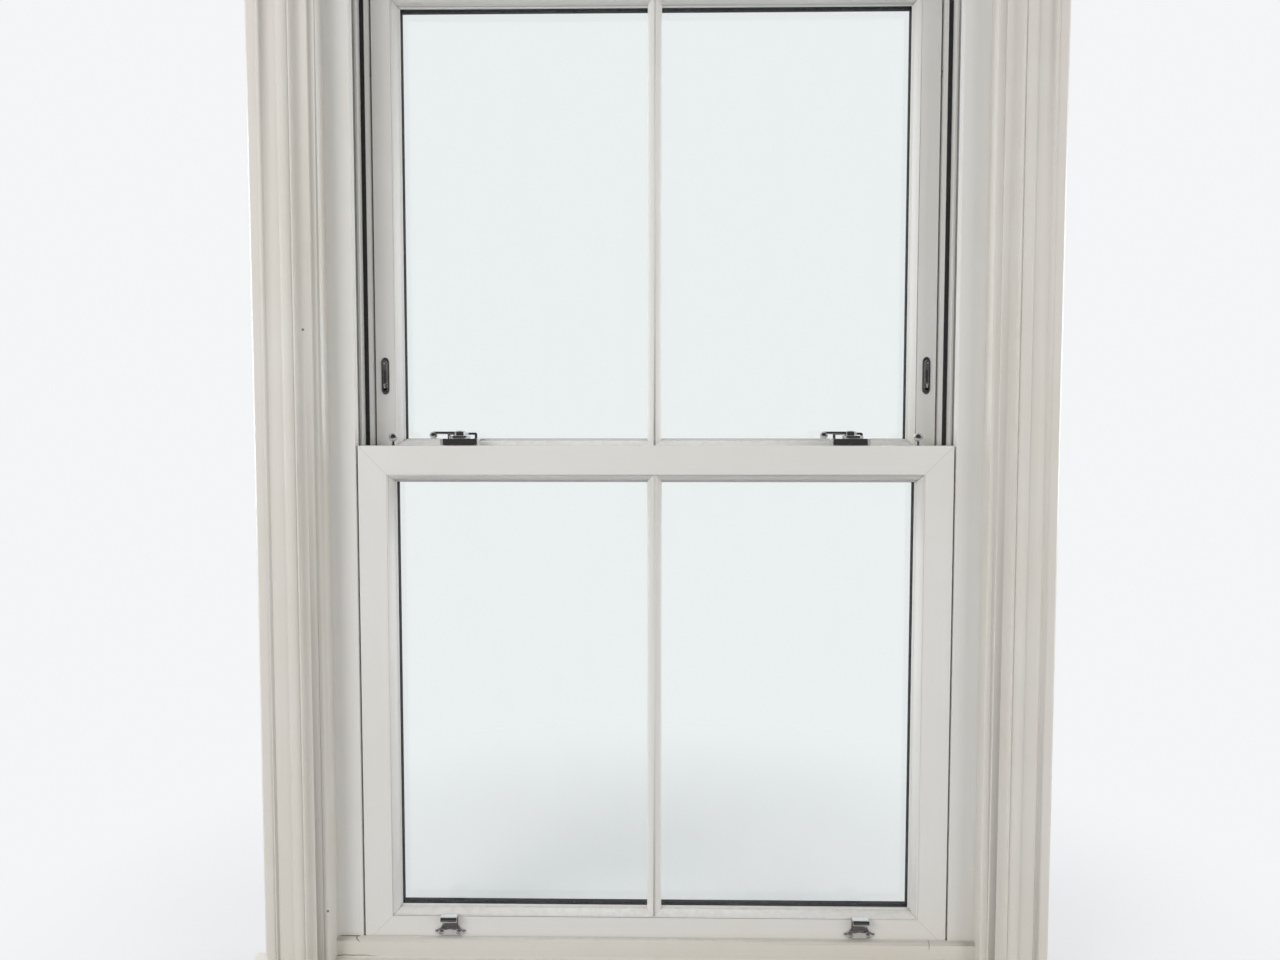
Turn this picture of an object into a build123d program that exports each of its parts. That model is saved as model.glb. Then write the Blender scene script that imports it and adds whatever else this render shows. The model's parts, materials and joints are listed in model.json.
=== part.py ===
"""Vertical sliding sash window of extruded white plastic sections, with its timber architrave and window board.

X runs along the width, Y from the room to the outside, Z up. The origin is the middle of the frame's base.
A depth is measured from the frame's room face towards the outside.
"""
import os

from build123d import *

# Frame
FRAME_DEPTH = 135.0
JAMB_FACE = 61.8          # inner track wall to the jamb's outer side
STEP_WIDTH = 13.2         # the outer track is narrower than the inner one by this, each side
NOSE_WIDTH = 15.0         # outside stop that the upper sash runs against
FRAME_WALL = 3.2
FRAME_ARRIS = 1.5
WEB = 3.0

# Balance channels in the jambs and head
MOUTH_WIDTH = 19.0
CHANNEL_WIDTH = 27.0
CHANNEL_DEPTH = 24.8
LIP = 3.0

# Brush piles
PILE_WIDTH = 6.7
PILE_GROOVE = 4.0
PILE_CLEARANCE = 1.9      # clears the sash's lower corner as it swings
SEAL_WIDTH = 9.0
SEAL_CLEARANCE = 0.3

# Sashes
SASH_WIDTH = 891.0        # lower sash, over its stiles
SASH_HEIGHT = 767.0
SASH_DEPTH = 47.0
SASH_FACE = 42.7          # flat face, from the outer edge to the bead
SASH_WALL = 3.0
SASH_ARRIS = 1.0
SIDE_GAP = 2.7
TRACK_GAP = 3.0           # behind each sash
SASH_RECESS = 1.0
STEP_THICKNESS = 4.0      # parting step in front of the upper sash
MEETING_OVERLAP = 45.0
SEAL_GAP = 5.0            # under the lower sash
HEAD_GAP = 3.0

# Glazing
GLASS_RECESS = 18.0
PANE = 4.0
CAVITY = 16.0
GASKET = 1.0
REBATE = 6.7              # rebate, outwards from the bead line
GLASS_EDGE = 3.7
BEAD_WIDTH = 11.7
BEAD_SET = 0.5
BEAD_FIT = 0.2
BEAD_FOOT = 6.0           # thickness of the lip that the bead's foot clips behind
BEAD_QUIRK = 1.8
BEAD_STEP = 13.0
BEAD_BULGE = 2.5
OUTER_LEG = 7.3
SPACER_RISE = 10.5
SPACER_WALL = 1.2
BAR_WIDTH = 21.5
BAR_RIDGE = 3.2
BAR_SET = 1.5
OUTER_BAR_SET = 0.5

# Sill, sub-sill and timber trim
SUBSILL_HEIGHT = 30.0
SUBSILL_NOSE = 53.0
SUBSILL_TIP = 20.0
END_CAP = 3.0
SILL_HEIGHT = 45.0
SILL_FALL = 12.0
TRIM_HEIGHT = 29.0
TRIM_THICKNESS = 9.0
TRIM_COVER = 12.0         # of the lower sash, hidden behind the trim
ARCHITRAVE_WIDTH = 100.0
ARCHITRAVE_SIDE = 30.0
ARCHITRAVE_REVEAL = 38.8  # jamb face left in view
BOARD_THICKNESS = 22.0
BOARD_PROJECTION = 95.0
BOARD_HORN = 25.0

# Balances, shoes and pivots
LIFT_TRAVEL = 600.0
TILT_LIFT = 100.0
TUBE_RADIUS = 7.5
TUBE_WALL = 1.0
ROD_WIDTH = 5.0
ROD_THICKNESS = 1.8
ROD_OVERLAP = 20.0
ROD_FOOT_WIDTH = 9.0
ROD_FOOT = 2.5
TUBE_GAP = 8.0
TUBE_END = 12.0
TUBE_SETBACK = 9.0        # tube centre, from the channel's floor
SHOE_HEIGHT = 50.0
SHOE_CLEARANCE = 0.4
PIVOT_RADIUS = 4.5
PIVOT_HEIGHT = 10.0
PIVOT_REACH = 12.0        # past the sash's edge
PIVOT_INSET = 26.0
RUNNING_FIT = 0.06

# Cam catches and their keeps
CATCH_INSET = 147.5       # pivot, from the sash's edge
CATCH_DEPTH = 33.0        # pivot, from the sash's face
CATCH_LENGTH = 61.0
CATCH_WIDTH = 24.0
CATCH_BASE = 10.5
CATCH_BEVEL = 2.0
CAM_RADIUS = 16.0
CAM_OFFSET = 9.0
CAM_THICKNESS = 4.5
CAM_REST_ANGLE = -80.0
CAM_BOSS = 9.0
LEVER_TOP = 21.5
LEVER_THICKNESS = 4.5
LEVER_LENGTH = 40.5
LEVER_WIDTH = 9.0
KNOB_RADIUS = 6.0
CATCH_PIN = 3.5
PIN_CAP = 1.2
CATCH_FIT = 0.2
KEEP_WIDTH = 46.0
KEEP_THICKNESS = 2.3
KEEP_BELOW = 22.0
KEEP_ABOVE = 3.5
KEEP_SLOT_WIDTH = 38.0
KEEP_SLOT_CLEARANCE = 1.0

# Tilt latches
LATCH_INSET = 47.5        # knob, from the sash's edge
LATCH_TRAVEL = 10.0
LATCH_NOSE = 9.0          # past the sash's edge
BOLT_WIDTH = 16.0
BOLT_HEIGHT = 10.0
BOLT_FIT = 0.4
HOUSING_WALL = 2.0
HOUSING_LENGTH = 86.0
LATCH_BALL = 6.2
STALK_RADIUS = 2.4
KNOB_HEIGHT = 19.5
SPRING_BENDS = 8
SPRING_REACH = 5.5
SPRING_LEAF = 0.8

# Lift hooks
HOOK_INSET = 132.0        # centre, from the sash's edge
HOOK_WIDTH = 47.6
HOOK_PLATE = 14.0
HOOK_HEIGHT = 35.0
HOOK_GAP = 1.5            # above the trim
HOOK_STRIP = 2.8
HOOK_LIP_WIDTH = 25.0
HOOK_CURL = 8.0
HOOK_TIP = 4.5

# Travel restrictors
RESTRICTOR_ABOVE = 107.0  # centre, above the lower sash
RESTRICTOR_WIDTH = 13.0
RESTRICTOR_LENGTH = 57.6
RESTRICTOR_PLATE = 1.5
RESTRICTOR_SLOT = 7.6
RESTRICTOR_SLOT_LENGTH = 45.0
RESTRICTOR_DEPTH = 13.0
RESTRICTOR_WALL = 1.5
WEDGE_LENGTH = 41.0
WEDGE_THICKNESS = 7.0
WEDGE_FIT = 0.3
WEDGE_PIN = 1.5

# Fixing holes in the jambs
FIXING_RADIUS = 4.0
FIXING_SPACING = 1100.0

# Places worked out from the sizes
ROOM_Y = -FRAME_DEPTH / 2
LOWER_HALF = SASH_WIDTH / 2
INNER_TRACK = LOWER_HALF + SIDE_GAP
OUTER_TRACK = INNER_TRACK - STEP_WIDTH
UPPER_HALF = OUTER_TRACK - SIDE_GAP
FRAME_HALF = INNER_TRACK + JAMB_FACE
BEAD_LINE = LOWER_HALF - SASH_FACE
UPPER_STILE_FACE = UPPER_HALF - BEAD_LINE
CATCH_X = LOWER_HALF - CATCH_INSET
HOOK_X = LOWER_HALF - HOOK_INSET

LOWER_FRONT = SASH_RECESS
LOWER_BACK = LOWER_FRONT + SASH_DEPTH
STEP_DEPTH = LOWER_BACK + TRACK_GAP
UPPER_FRONT = STEP_DEPTH + STEP_THICKNESS
UPPER_BACK = UPPER_FRONT + SASH_DEPTH
NOSE_DEPTH = UPPER_BACK + TRACK_GAP
LOWER_CENTRE = LOWER_FRONT + SASH_DEPTH / 2
UPPER_CENTRE = UPPER_FRONT + SASH_DEPTH / 2

SILL_TOP = SUBSILL_HEIGHT + SILL_HEIGHT
LOWER_Z = SILL_TOP + SEAL_GAP
LOWER_TOP = LOWER_Z + SASH_HEIGHT
UPPER_Z = LOWER_TOP - MEETING_OVERLAP
UPPER_TOP = UPPER_Z + SASH_HEIGHT
HEAD_INNER = UPPER_TOP + HEAD_GAP + STEP_WIDTH
FRAME_TOP = HEAD_INNER + JAMB_FACE
TRIM_TOP = LOWER_Z + TRIM_COVER
BOARD_TOP = TRIM_TOP - TRIM_HEIGHT
ARCHITRAVE_X = INNER_TRACK + ARCHITRAVE_REVEAL
ARCHITRAVE_Z = HEAD_INNER + ARCHITRAVE_REVEAL

GLASS_BACK = GLASS_RECESS + 2 * PANE + CAVITY
LEG_FRONT = GLASS_BACK + GASKET
SIDES = {"left": -1, "right": 1}


def place(depth):
    """Y of a depth measured from the frame's room face."""
    return ROOM_Y + depth


def along_x(section, length):
    """A section drawn as (depth, height) points, extruded along X about the middle."""
    return extrude(Plane.YZ * section, amount=length / 2, both=True)


def along_z(section, low, high):
    """A section drawn in plan, extruded up from low to high."""
    return extrude(Pos(0, 0, low) * section, amount=high - low)


def block(x0, x1, y0, y1, z0, z1):
    """A box between two corners."""
    return Pos((x0 + x1) / 2, (y0 + y1) / 2, (z0 + z1) / 2) * Box(abs(x1 - x0), abs(y1 - y0), abs(z1 - z0))


def towards_room(outline, thickness):
    """A plate with its back on Y = 0, from its outline in X and Z."""
    return extrude(Plane.XZ * outline, amount=thickness, dir=(0, -1, 0))


def in_elevation(*points):
    """A slab through the whole depth, from its outline in X and Z."""
    return extrude(Plane.XZ * Polygon(*points, align=None), amount=4 * FRAME_DEPTH, both=True)


def both_sides(piece):
    """A piece modelled on the right and its mirror on the left."""
    return {"left": mirror(piece, about=Plane.YZ), "right": piece}


def pair(piece):
    """A piece and its mirror image, as one group of separate solids."""
    return Compound(children=[piece, mirror(piece, about=Plane.YZ)])


def group(pieces):
    """Like pieces as one group of separate solids."""
    return Compound(children=[solid for piece in pieces for solid in piece.solids()])


def mitred_ring(rail, stile, front, z0, z1, rail_reach, stile_reach, inward, gap=0):
    """Four lengths of extrusion mitred round the bead line, from a rail's and a stile's section.

    A section is drawn as (depth, height) points for the bottom length, with height 0 on the bead line.
    The gap is left between the lengths at each mitre, measured along the rail.
    """
    x, y, middle = BEAD_LINE, place(front), (z0 + z1) / 2
    span = 2 * (x + stile_reach)
    rise = z1 - z0 + 2 * rail_reach
    end = x + stile_reach - gap
    low = in_elevation(
        (-x + inward + gap, z0 + inward), (-end, z0 - stile_reach), (-end, z0 - rail_reach - 1),
        (end, z0 - rail_reach - 1), (end, z0 - stile_reach), (x - inward - gap, z0 + inward),
    )
    side = in_elevation(
        (-x + inward, z0 + inward), (-x - stile_reach, z0 - stile_reach),
        (-x - stile_reach, z1 + stile_reach), (-x + inward, z1 - inward),
    )
    bottom = Pos(0, y, z0) * along_x(rail, span) & low
    top = Pos(0, y, z1) * Rot(0, 180, 0) * along_x(rail, span) & mirror(low, about=Plane.XY.offset(middle))
    left = Pos(-x, y, middle) * Rot(0, 90, 0) * along_x(stile, rise) & side
    return {"bottom": bottom, "top": top, "left": left, "right": mirror(left, about=Plane.YZ)}


def frame_section():
    """Jamb and head section: two stepped tracks, each with a lipped balance channel, and closed chambers."""
    def channel(centre, wall):
        mouth, half, floor = MOUTH_WIDTH / 2, CHANNEL_WIDTH / 2, wall - CHANNEL_DEPTH
        return [
            (centre - mouth, wall), (centre - mouth, wall - LIP), (centre - half, wall - LIP), (centre - half, floor),
            (centre + half, floor), (centre + half, wall - LIP), (centre + mouth, wall - LIP), (centre + mouth, wall),
        ]

    def groove(depth, wall):
        return [(depth + PILE_GROOVE, wall), (depth + PILE_GROOVE, wall + PILE_WIDTH), (depth, wall + PILE_WIDTH)]

    outside = -JAMB_FACE
    stop = STEP_WIDTH + NOSE_WIDTH
    outline = Polygon(
        (0, 0), *channel(LOWER_CENTRE, 0), *groove(STEP_DEPTH, 0), (STEP_DEPTH, STEP_WIDTH),
        *channel(UPPER_CENTRE, STEP_WIDTH), *groove(NOSE_DEPTH, STEP_WIDTH), (NOSE_DEPTH, stop),
        (FRAME_DEPTH, stop), (FRAME_DEPTH, outside), (0, outside), align=None,
    )
    arrises = outline.vertices().filter_by(lambda v: (round(v.X, 3), round(v.Y, 3)) in [(0, 0), (FRAME_DEPTH, stop)])
    outline = fillet(arrises, FRAME_ARRIS)
    high = -CHANNEL_DEPTH - FRAME_WALL
    low = outside + FRAME_WALL
    room = (FRAME_DEPTH - 2 * FRAME_WALL - 2 * WEB) / 3
    for i in range(3):
        depth = FRAME_WALL + i * (room + WEB) + room / 2
        outline -= Pos(depth, (high + low) / 2) * Rectangle(room, high - low)
    beside = CHANNEL_WIDTH / 2 + FRAME_WALL
    for front, back, inner in (
        (LOWER_CENTRE + beside, UPPER_CENTRE - beside, -FRAME_WALL),
        (UPPER_CENTRE + beside, FRAME_DEPTH - FRAME_WALL, STEP_WIDTH - FRAME_WALL),
    ):
        depth, height = (front + back) / 2, (inner - CHANNEL_DEPTH) / 2
        outline -= Pos(depth, height) * Rectangle(back - front, inner + CHANNEL_DEPTH)
    return outline


def sill_outline():
    """Solid outline of the frame's bottom member: level under the lower sash, falling outwards under the upper."""
    low, high = SUBSILL_HEIGHT, SILL_TOP
    fall = high - SILL_FALL
    return Polygon((0, low), (0, high), (STEP_DEPTH, high), (FRAME_DEPTH, fall), (FRAME_DEPTH, low), align=None)


def sill():
    """Bottom member of the frame, with two chambers closed by the weld at each end."""
    low = SUBSILL_HEIGHT + FRAME_WALL
    room = (FRAME_DEPTH - 2 * FRAME_WALL - WEB) / 2
    solid = along_x(sill_outline(), 2 * FRAME_HALF)
    for i in range(2):
        depth = FRAME_WALL + i * (room + WEB)
        top = SILL_TOP - SILL_FALL * i - 2 * FRAME_WALL
        chamber = Pos(depth + room / 2, (low + top) / 2) * Rectangle(room, top - low)
        solid -= along_x(chamber, 2 * (FRAME_HALF - FRAME_WALL))
    return Pos(0, ROOM_Y, 0) * solid


def fixing_holes():
    """Through holes for the screws that hold the frame in its opening, two in each jamb."""
    depth = place((STEP_DEPTH + PILE_GROOVE + UPPER_CENTRE - CHANNEL_WIDTH / 2) / 2)
    middle = (SILL_TOP + FRAME_TOP) / 2
    holes = [
        Pos(0, depth, middle + i * FIXING_SPACING / 2) * Rot(0, 90, 0) * Cylinder(FIXING_RADIUS, 3 * FRAME_HALF)
        for i in (-1, 1)
    ]
    return Compound(children=holes)


def outer_frame():
    """Head mitred to two jambs, which stand on the sill, with the fixing holes through the jambs."""
    section = frame_section()
    x, z, far = INNER_TRACK, HEAD_INNER, 2 * JAMB_FACE
    inward = 2 * (STEP_WIDTH + NOSE_WIDTH)
    over = in_elevation((-x + inward, z - inward), (-x - far, z + far), (x + far, z + far), (x - inward, z - inward))
    beside = in_elevation((x - inward, z - inward), (x + far, z + far), (x + far, 0), (x - inward, 0))
    length = 2 * FRAME_HALF
    head = Pos(0, ROOM_Y, z) * Rot(0, 180, 0) * along_x(section, length) & over
    height = FRAME_TOP - SUBSILL_HEIGHT
    upright = Pos(x, ROOM_Y, SUBSILL_HEIGHT + height / 2) * Rot(0, -90, 0) * along_x(section, height) & beside
    coping = Pos(0, ROOM_Y, 0) * along_x(sill_outline(), 2 * length)
    jambs = both_sides(upright - coping - fixing_holes())
    return {
        "frame_head": head, "frame_jamb_left": jambs["left"], "frame_jamb_right": jambs["right"],
        "frame_sill": sill(),
    }


def brush_piles():
    """Brush strips in the frame's grooves, facing the back of each sash: up both jambs and across the head."""
    low = SILL_TOP + PILE_GROOVE
    strips = []
    for wall, ceiling, depth, back in (
        (INNER_TRACK, HEAD_INNER, STEP_DEPTH, LOWER_BACK),
        (OUTER_TRACK, HEAD_INNER - STEP_WIDTH, NOSE_DEPTH, UPPER_BACK),
    ):
        tips, root = place(back + PILE_CLEARANCE), place(depth + PILE_GROOVE)
        middle = (tips + root) / 2
        inner, under = wall - PILE_WIDTH, ceiling - PILE_WIDTH
        upright = block(inner + 1, wall - 1, tips, middle, low, under) + block(inner, wall, middle, root, low, under)
        strips.append(pair(upright))
        half = inner - BEAD_FIT
        span = block(-half, half, tips, middle, under + 1, ceiling - 1)
        strips.append(span + block(-half, half, middle, root, under, ceiling))
    return group(strips)


def meeting_brush():
    """Brush strip along the upper sash's bottom rail, facing the back of the lower sash's top rail."""
    low = UPPER_Z + PILE_WIDTH
    tips, root = place(LOWER_BACK + PILE_CLEARANCE), place(UPPER_FRONT)
    middle = (tips + root) / 2
    high = low + PILE_WIDTH
    strip = block(-BEAD_LINE, BEAD_LINE, middle, root, low, high)
    return strip + block(-BEAD_LINE, BEAD_LINE, tips, middle, low + 1, high - 1)


def sill_seal():
    """Rubber strip on the sill, just clear of the lower sash's underside."""
    high = LOWER_Z - SEAL_CLEARANCE
    half = SEAL_WIDTH / 2
    y = place(LOWER_CENTRE)
    strip = block(-OUTER_TRACK, OUTER_TRACK, y - half, y + half, SILL_TOP, high)
    return chamfer(strip.edges().filter_by(Axis.X).group_by(Axis.Z)[-1], SEAL_GAP / 3)


def subsill():
    """External sill under the frame, with its nose, drip and a cap at each end."""
    nose = FRAME_DEPTH + SUBSILL_NOSE
    tip = SUBSILL_TIP
    drip = nose - FRAME_WALL
    under = FRAME_DEPTH + FRAME_WALL
    outline = Polygon(
        (0, 0), (0, SUBSILL_HEIGHT), (FRAME_DEPTH, SUBSILL_HEIGHT), (FRAME_DEPTH, SUBSILL_HEIGHT - FRAME_WALL),
        (nose, tip), (nose, FRAME_ARRIS), (drip, FRAME_ARRIS), (drip, tip - 2 * FRAME_WALL),
        (under, tip - FRAME_WALL), (under, 0), align=None,
    )
    cap = Pos(FRAME_HALF + END_CAP / 2, ROOM_Y, 0) * along_x(outline, END_CAP)
    room = (FRAME_DEPTH - 2 * FRAME_WALL - WEB) / 2
    for i in range(2):
        depth = FRAME_WALL + i * (room + WEB) + room / 2
        outline -= Pos(depth, SUBSILL_HEIGHT / 2) * Rectangle(room, SUBSILL_HEIGHT - 2 * FRAME_WALL)
    return {"external_sill": Pos(0, ROOM_Y, 0) * along_x(outline, 2 * FRAME_HALF), "sill_end_caps": pair(cap)}


def architrave_section():
    """Moulding in (projection, width) points: fillets, cavetto, torus and a long ogee to the outer edge."""
    side, width = ARCHITRAVE_SIDE, ARCHITRAVE_WIDTH
    second = side + 6
    crest = side + 18
    back = side + 6
    steps = Polyline((0, width), (0, 0), (side, 0), (side, 10), (second, 10), (second, 20))
    cavetto = ThreePointArc((second, 20), (second + 3.5, 28.5), (crest, 31))
    quirk = Polyline((crest, 31), (crest, 33), (crest - 3, 33))
    torus = ThreePointArc((crest - 3, 33), (crest + 2, 42), (crest - 3, 51))
    fall = Polyline((crest - 3, 51), (crest - 5, 51), (back, 76))
    bump = ThreePointArc((back, 76), (back + 3, 80), (back, 84))
    edge = Polyline((back, 84), (back - 2, width - 3), (back - 5, width), (0, width))
    return make_face(steps + cavetto + quirk + torus + fall + bump + edge)


def architraves():
    """Timber moulding round three sides of the frame, mitred at the head and standing on the window board."""
    section = architrave_section()
    x, z, wide = ARCHITRAVE_X, ARCHITRAVE_Z, ARCHITRAVE_WIDTH
    upright = Plane((x, ROOM_Y, BOARD_TOP), x_dir=(0, -1, 0), z_dir=(0, 0, 1)) * section
    leg = extrude(upright, amount=z + wide - BOARD_TOP)
    leg &= in_elevation((x, 0), (x, z), (x + wide, z + wide), (x + wide, 0))
    across = Plane((-x - wide, ROOM_Y, z), x_dir=(0, -1, 0), z_dir=(-1, 0, 0)) * section
    head = extrude(across, amount=-2 * (x + wide))
    head &= in_elevation((-x, z), (-x - wide, z + wide), (x + wide, z + wide), (x, z))
    legs = both_sides(leg)
    return {"architrave_left": legs["left"], "architrave_right": legs["right"], "architrave_head": head}


def board_and_trim():
    """Window board with a rounded nose, and the strip that covers the joint between board, jambs and sash."""
    half = ARCHITRAVE_X + ARCHITRAVE_WIDTH + BOARD_HORN
    board = block(-half, half, ROOM_Y - BOARD_PROJECTION, ROOM_Y, BOARD_TOP - BOARD_THICKNESS, BOARD_TOP)
    nose = board.edges().filter_by(Axis.X).group_by(Axis.Y)[0]
    board = fillet(nose, BOARD_THICKNESS / 2 - 0.5)
    trim = block(-ARCHITRAVE_X, ARCHITRAVE_X, ROOM_Y - TRIM_THICKNESS, ROOM_Y, BOARD_TOP, TRIM_TOP)
    arris = trim.edges().filter_by(Axis.X).group_by(Axis.Y)[0].sort_by(Axis.Z)[-1]
    trim = fillet(arris, TRIM_THICKNESS / 2)
    return {"window_board": board, "cover_trim": trim}


def sash_section(face):
    """Rail or stile section round the bead line, for a flat face of the given width."""
    depth, lip = SASH_DEPTH, BEAD_FOOT
    outline = Polygon(
        (0, -face), (0, 0), (lip, 0), (lip, -REBATE), (LEG_FRONT, -REBATE), (LEG_FRONT, OUTER_LEG - 1),
        (LEG_FRONT + 1, OUTER_LEG), (depth - 2, OUTER_LEG), (depth, OUTER_LEG - 5), (depth, -face), align=None,
    )
    corners = outline.vertices().filter_by(lambda v: abs(v.Y + face) < 0.01)
    outline = fillet(corners, SASH_ARRIS)
    high = -REBATE - SASH_WALL
    low = SASH_WALL - face
    return outline - Pos(depth / 2, (high + low) / 2) * Rectangle(depth - 2 * SASH_WALL, high - low)


def bead_section():
    """Ovolo glazing bead with a fillet, a quirk and a foot that clips behind the sash's lip."""
    fit, back, top = BEAD_FIT, GLASS_RECESS - GASKET, BEAD_WIDTH
    start, end = (BEAD_QUIRK, BEAD_QUIRK), (BEAD_STEP, top - 2.5)
    middle = ((start[0] + end[0]) / 2 - BEAD_BULGE * 0.56, (start[1] + end[1]) / 2 + BEAD_BULGE * 0.83)
    shape = Polyline(start, (BEAD_SET, BEAD_QUIRK), (BEAD_SET, fit), (BEAD_FOOT + fit, fit),
                     (BEAD_FOOT + fit, fit - REBATE), (back, fit - REBATE), (back, top), (BEAD_STEP, top), end)
    return make_face(shape + ThreePointArc(start, middle, end))


def gasket_section(depth, low, high):
    """Flat rubber strip one gasket thick."""
    return Pos(depth + GASKET / 2, (low + high) / 2) * Rectangle(GASKET, high - low)


def spacer_section():
    """Hollow spacer bar between the panes."""
    low, depth = -GLASS_EDGE, GLASS_RECESS + PANE
    middle = Pos(depth + CAVITY / 2, (low + SPACER_RISE) / 2)
    rise = SPACER_RISE - low
    return middle * Rectangle(CAVITY, rise) - middle * Rectangle(CAVITY - 2 * SPACER_WALL, rise - 2 * SPACER_WALL)


def bar_section(foot, ridge):
    """Half-round-sided glazing bar in plan, from its foot on the glass to its flat ridge."""
    half, flat = BAR_WIDTH / 2, BAR_RIDGE / 2
    lean = 0.22 * (foot - ridge)
    middle = ((half + flat) / 2 + 1.6, (foot + ridge) / 2 + (-lean if foot > ridge else -lean))
    right = ThreePointArc((half, foot), middle, (flat, ridge))
    left = ThreePointArc((-half, foot), (-middle[0], middle[1]), (-flat, ridge))
    return make_face(right + Line((flat, ridge), (-flat, ridge)) + left + Line((-half, foot), (half, foot)))


def glazing(front, z0, z1):
    """Beads, gaskets, sealed unit and glazing bars of one sash, inside its bead line."""
    def ring(section, gap=0):
        return mitred_ring(section, section, front, z0, z1, REBATE, REBATE, BEAD_WIDTH + 4, gap)

    def joined(lengths):
        return lengths["bottom"] + lengths["left"] + lengths["top"] + lengths["right"]

    beads = ring(bead_section(), BEAD_FIT)
    inner_seal = ring(gasket_section(GLASS_RECESS - GASKET, BEAD_WIDTH - 6, BEAD_WIDTH + 0.6))
    outer_seal = ring(gasket_section(GLASS_BACK, 0, OUTER_LEG + 0.6))
    spacer = ring(spacer_section())
    edge = BEAD_LINE + GLASS_EDGE
    panes = [
        block(-edge, edge, place(front + depth), place(front + depth + PANE), z0 - GLASS_EDGE, z1 + GLASS_EDGE)
        for depth in (GLASS_RECESS, GLASS_BACK - PANE)
    ]
    room_bar = along_z(Pos(0, place(front)) * bar_section(GLASS_RECESS, BAR_SET), z0 + BEAD_FIT, z1 - BEAD_FIT)
    for scribed in (beads, inner_seal):
        room_bar -= group([scribed["top"], scribed["bottom"]])
    room_bar = room_bar.solids().sort_by(SortBy.VOLUME)[-1]
    outside = bar_section(GLASS_BACK, SASH_DEPTH - OUTER_BAR_SET)
    outer_bar = along_z(Pos(0, place(front)) * outside, z0 + OUTER_LEG + 0.8, z1 - OUTER_LEG - 0.8)
    return {
        "beads": group(beads.values()),
        "gaskets": group([joined(inner_seal), joined(outer_seal)]),
        "spacer": joined(spacer),
        "glass_panes": group(panes),
        "glazing_bar_inner": room_bar,
        "glazing_bar_outer": outer_bar,
    }


def sash(front, low, stile_face):
    """Four mitred lengths and the glazing of one sash, as named pieces."""
    z0, z1 = low + SASH_FACE, low + SASH_HEIGHT - SASH_FACE
    ring = mitred_ring(
        sash_section(SASH_FACE), sash_section(stile_face), front, z0, z1, SASH_FACE, stile_face, BEAD_WIDTH + 4,
    )
    pieces = {
        "bottom_rail": ring["bottom"], "top_rail": ring["top"],
        "stile_left": ring["left"], "stile_right": ring["right"],
    }
    return {**pieces, **glazing(front, z0, z1)}


def turned_knob(radius):
    """Knob on the origin, turned about Z to an eight-sided outline."""
    outline = RegularPolygon(radius, 8, rotation=22.5, major_radius=False)
    return revolve(Plane.XZ * (outline & Pos(radius, 0) * Rectangle(2 * radius, 4 * radius)), Axis.Z)


def catch():
    """Cam catch modelled on the origin: base with its riveted pin, and the cam with its lever in one piece."""
    base = extrude(SlotOverall(CATCH_LENGTH, CATCH_WIDTH), amount=CATCH_BASE)
    base = chamfer(base.edges().group_by(Axis.Z)[-1], CATCH_BEVEL)
    level = CATCH_BASE + CATCH_FIT
    cap = Pos(0, 0, LEVER_TOP + CATCH_FIT + PIN_CAP / 2) * Cylinder(CATCH_PIN + 2.5, PIN_CAP)
    pin = Pos(0, 0, (LEVER_TOP + CATCH_FIT) / 2) * Cylinder(CATCH_PIN, LEVER_TOP + CATCH_FIT) + cap
    base += pin
    cam = Rot(0, 0, CAM_REST_ANGLE) * Pos(CAM_OFFSET, 0, level + CAM_THICKNESS / 2) * Cylinder(CAM_RADIUS, CAM_THICKNESS)
    boss = Pos(0, 0, (level + LEVER_TOP) / 2) * Cylinder(CAM_BOSS, LEVER_TOP - level)
    arm = Polygon(
        (0, LEVER_WIDTH / 2), (-LEVER_LENGTH, LEVER_WIDTH / 3), (-LEVER_LENGTH, -LEVER_WIDTH / 3), (0, -LEVER_WIDTH / 2),
        align=None,
    )
    arm = extrude(Pos(0, 0, LEVER_TOP - LEVER_THICKNESS) * arm, amount=LEVER_THICKNESS)
    knob = Pos(-LEVER_LENGTH, 0, LEVER_TOP - KNOB_RADIUS) * turned_knob(KNOB_RADIUS)
    lever = cam + boss + arm + knob
    lever -= Pos(0, 0, LEVER_TOP / 2) * Cylinder(CATCH_PIN + RUNNING_FIT, 2 * LEVER_TOP)
    return {"base": base, "lever": lever}


def keep():
    """Slotted striking plate on the upper sash's rail, modelled about the catch's pivot at the lower sash's top."""
    cam_low = CATCH_BASE + CATCH_FIT
    slot_top = cam_low + CAM_THICKNESS + KEEP_SLOT_CLEARANCE
    high = slot_top + KEEP_ABOVE
    plate = block(-KEEP_WIDTH / 2, KEEP_WIDTH / 2, -KEEP_THICKNESS, 0, -KEEP_BELOW, high)
    plate = fillet(plate.edges().filter_by(Axis.Y), 3)
    half = KEEP_SLOT_WIDTH / 2
    return plate - block(-half, half, -2 * KEEP_THICKNESS, KEEP_THICKNESS, cam_low - KEEP_SLOT_CLEARANCE, slot_top)


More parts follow.
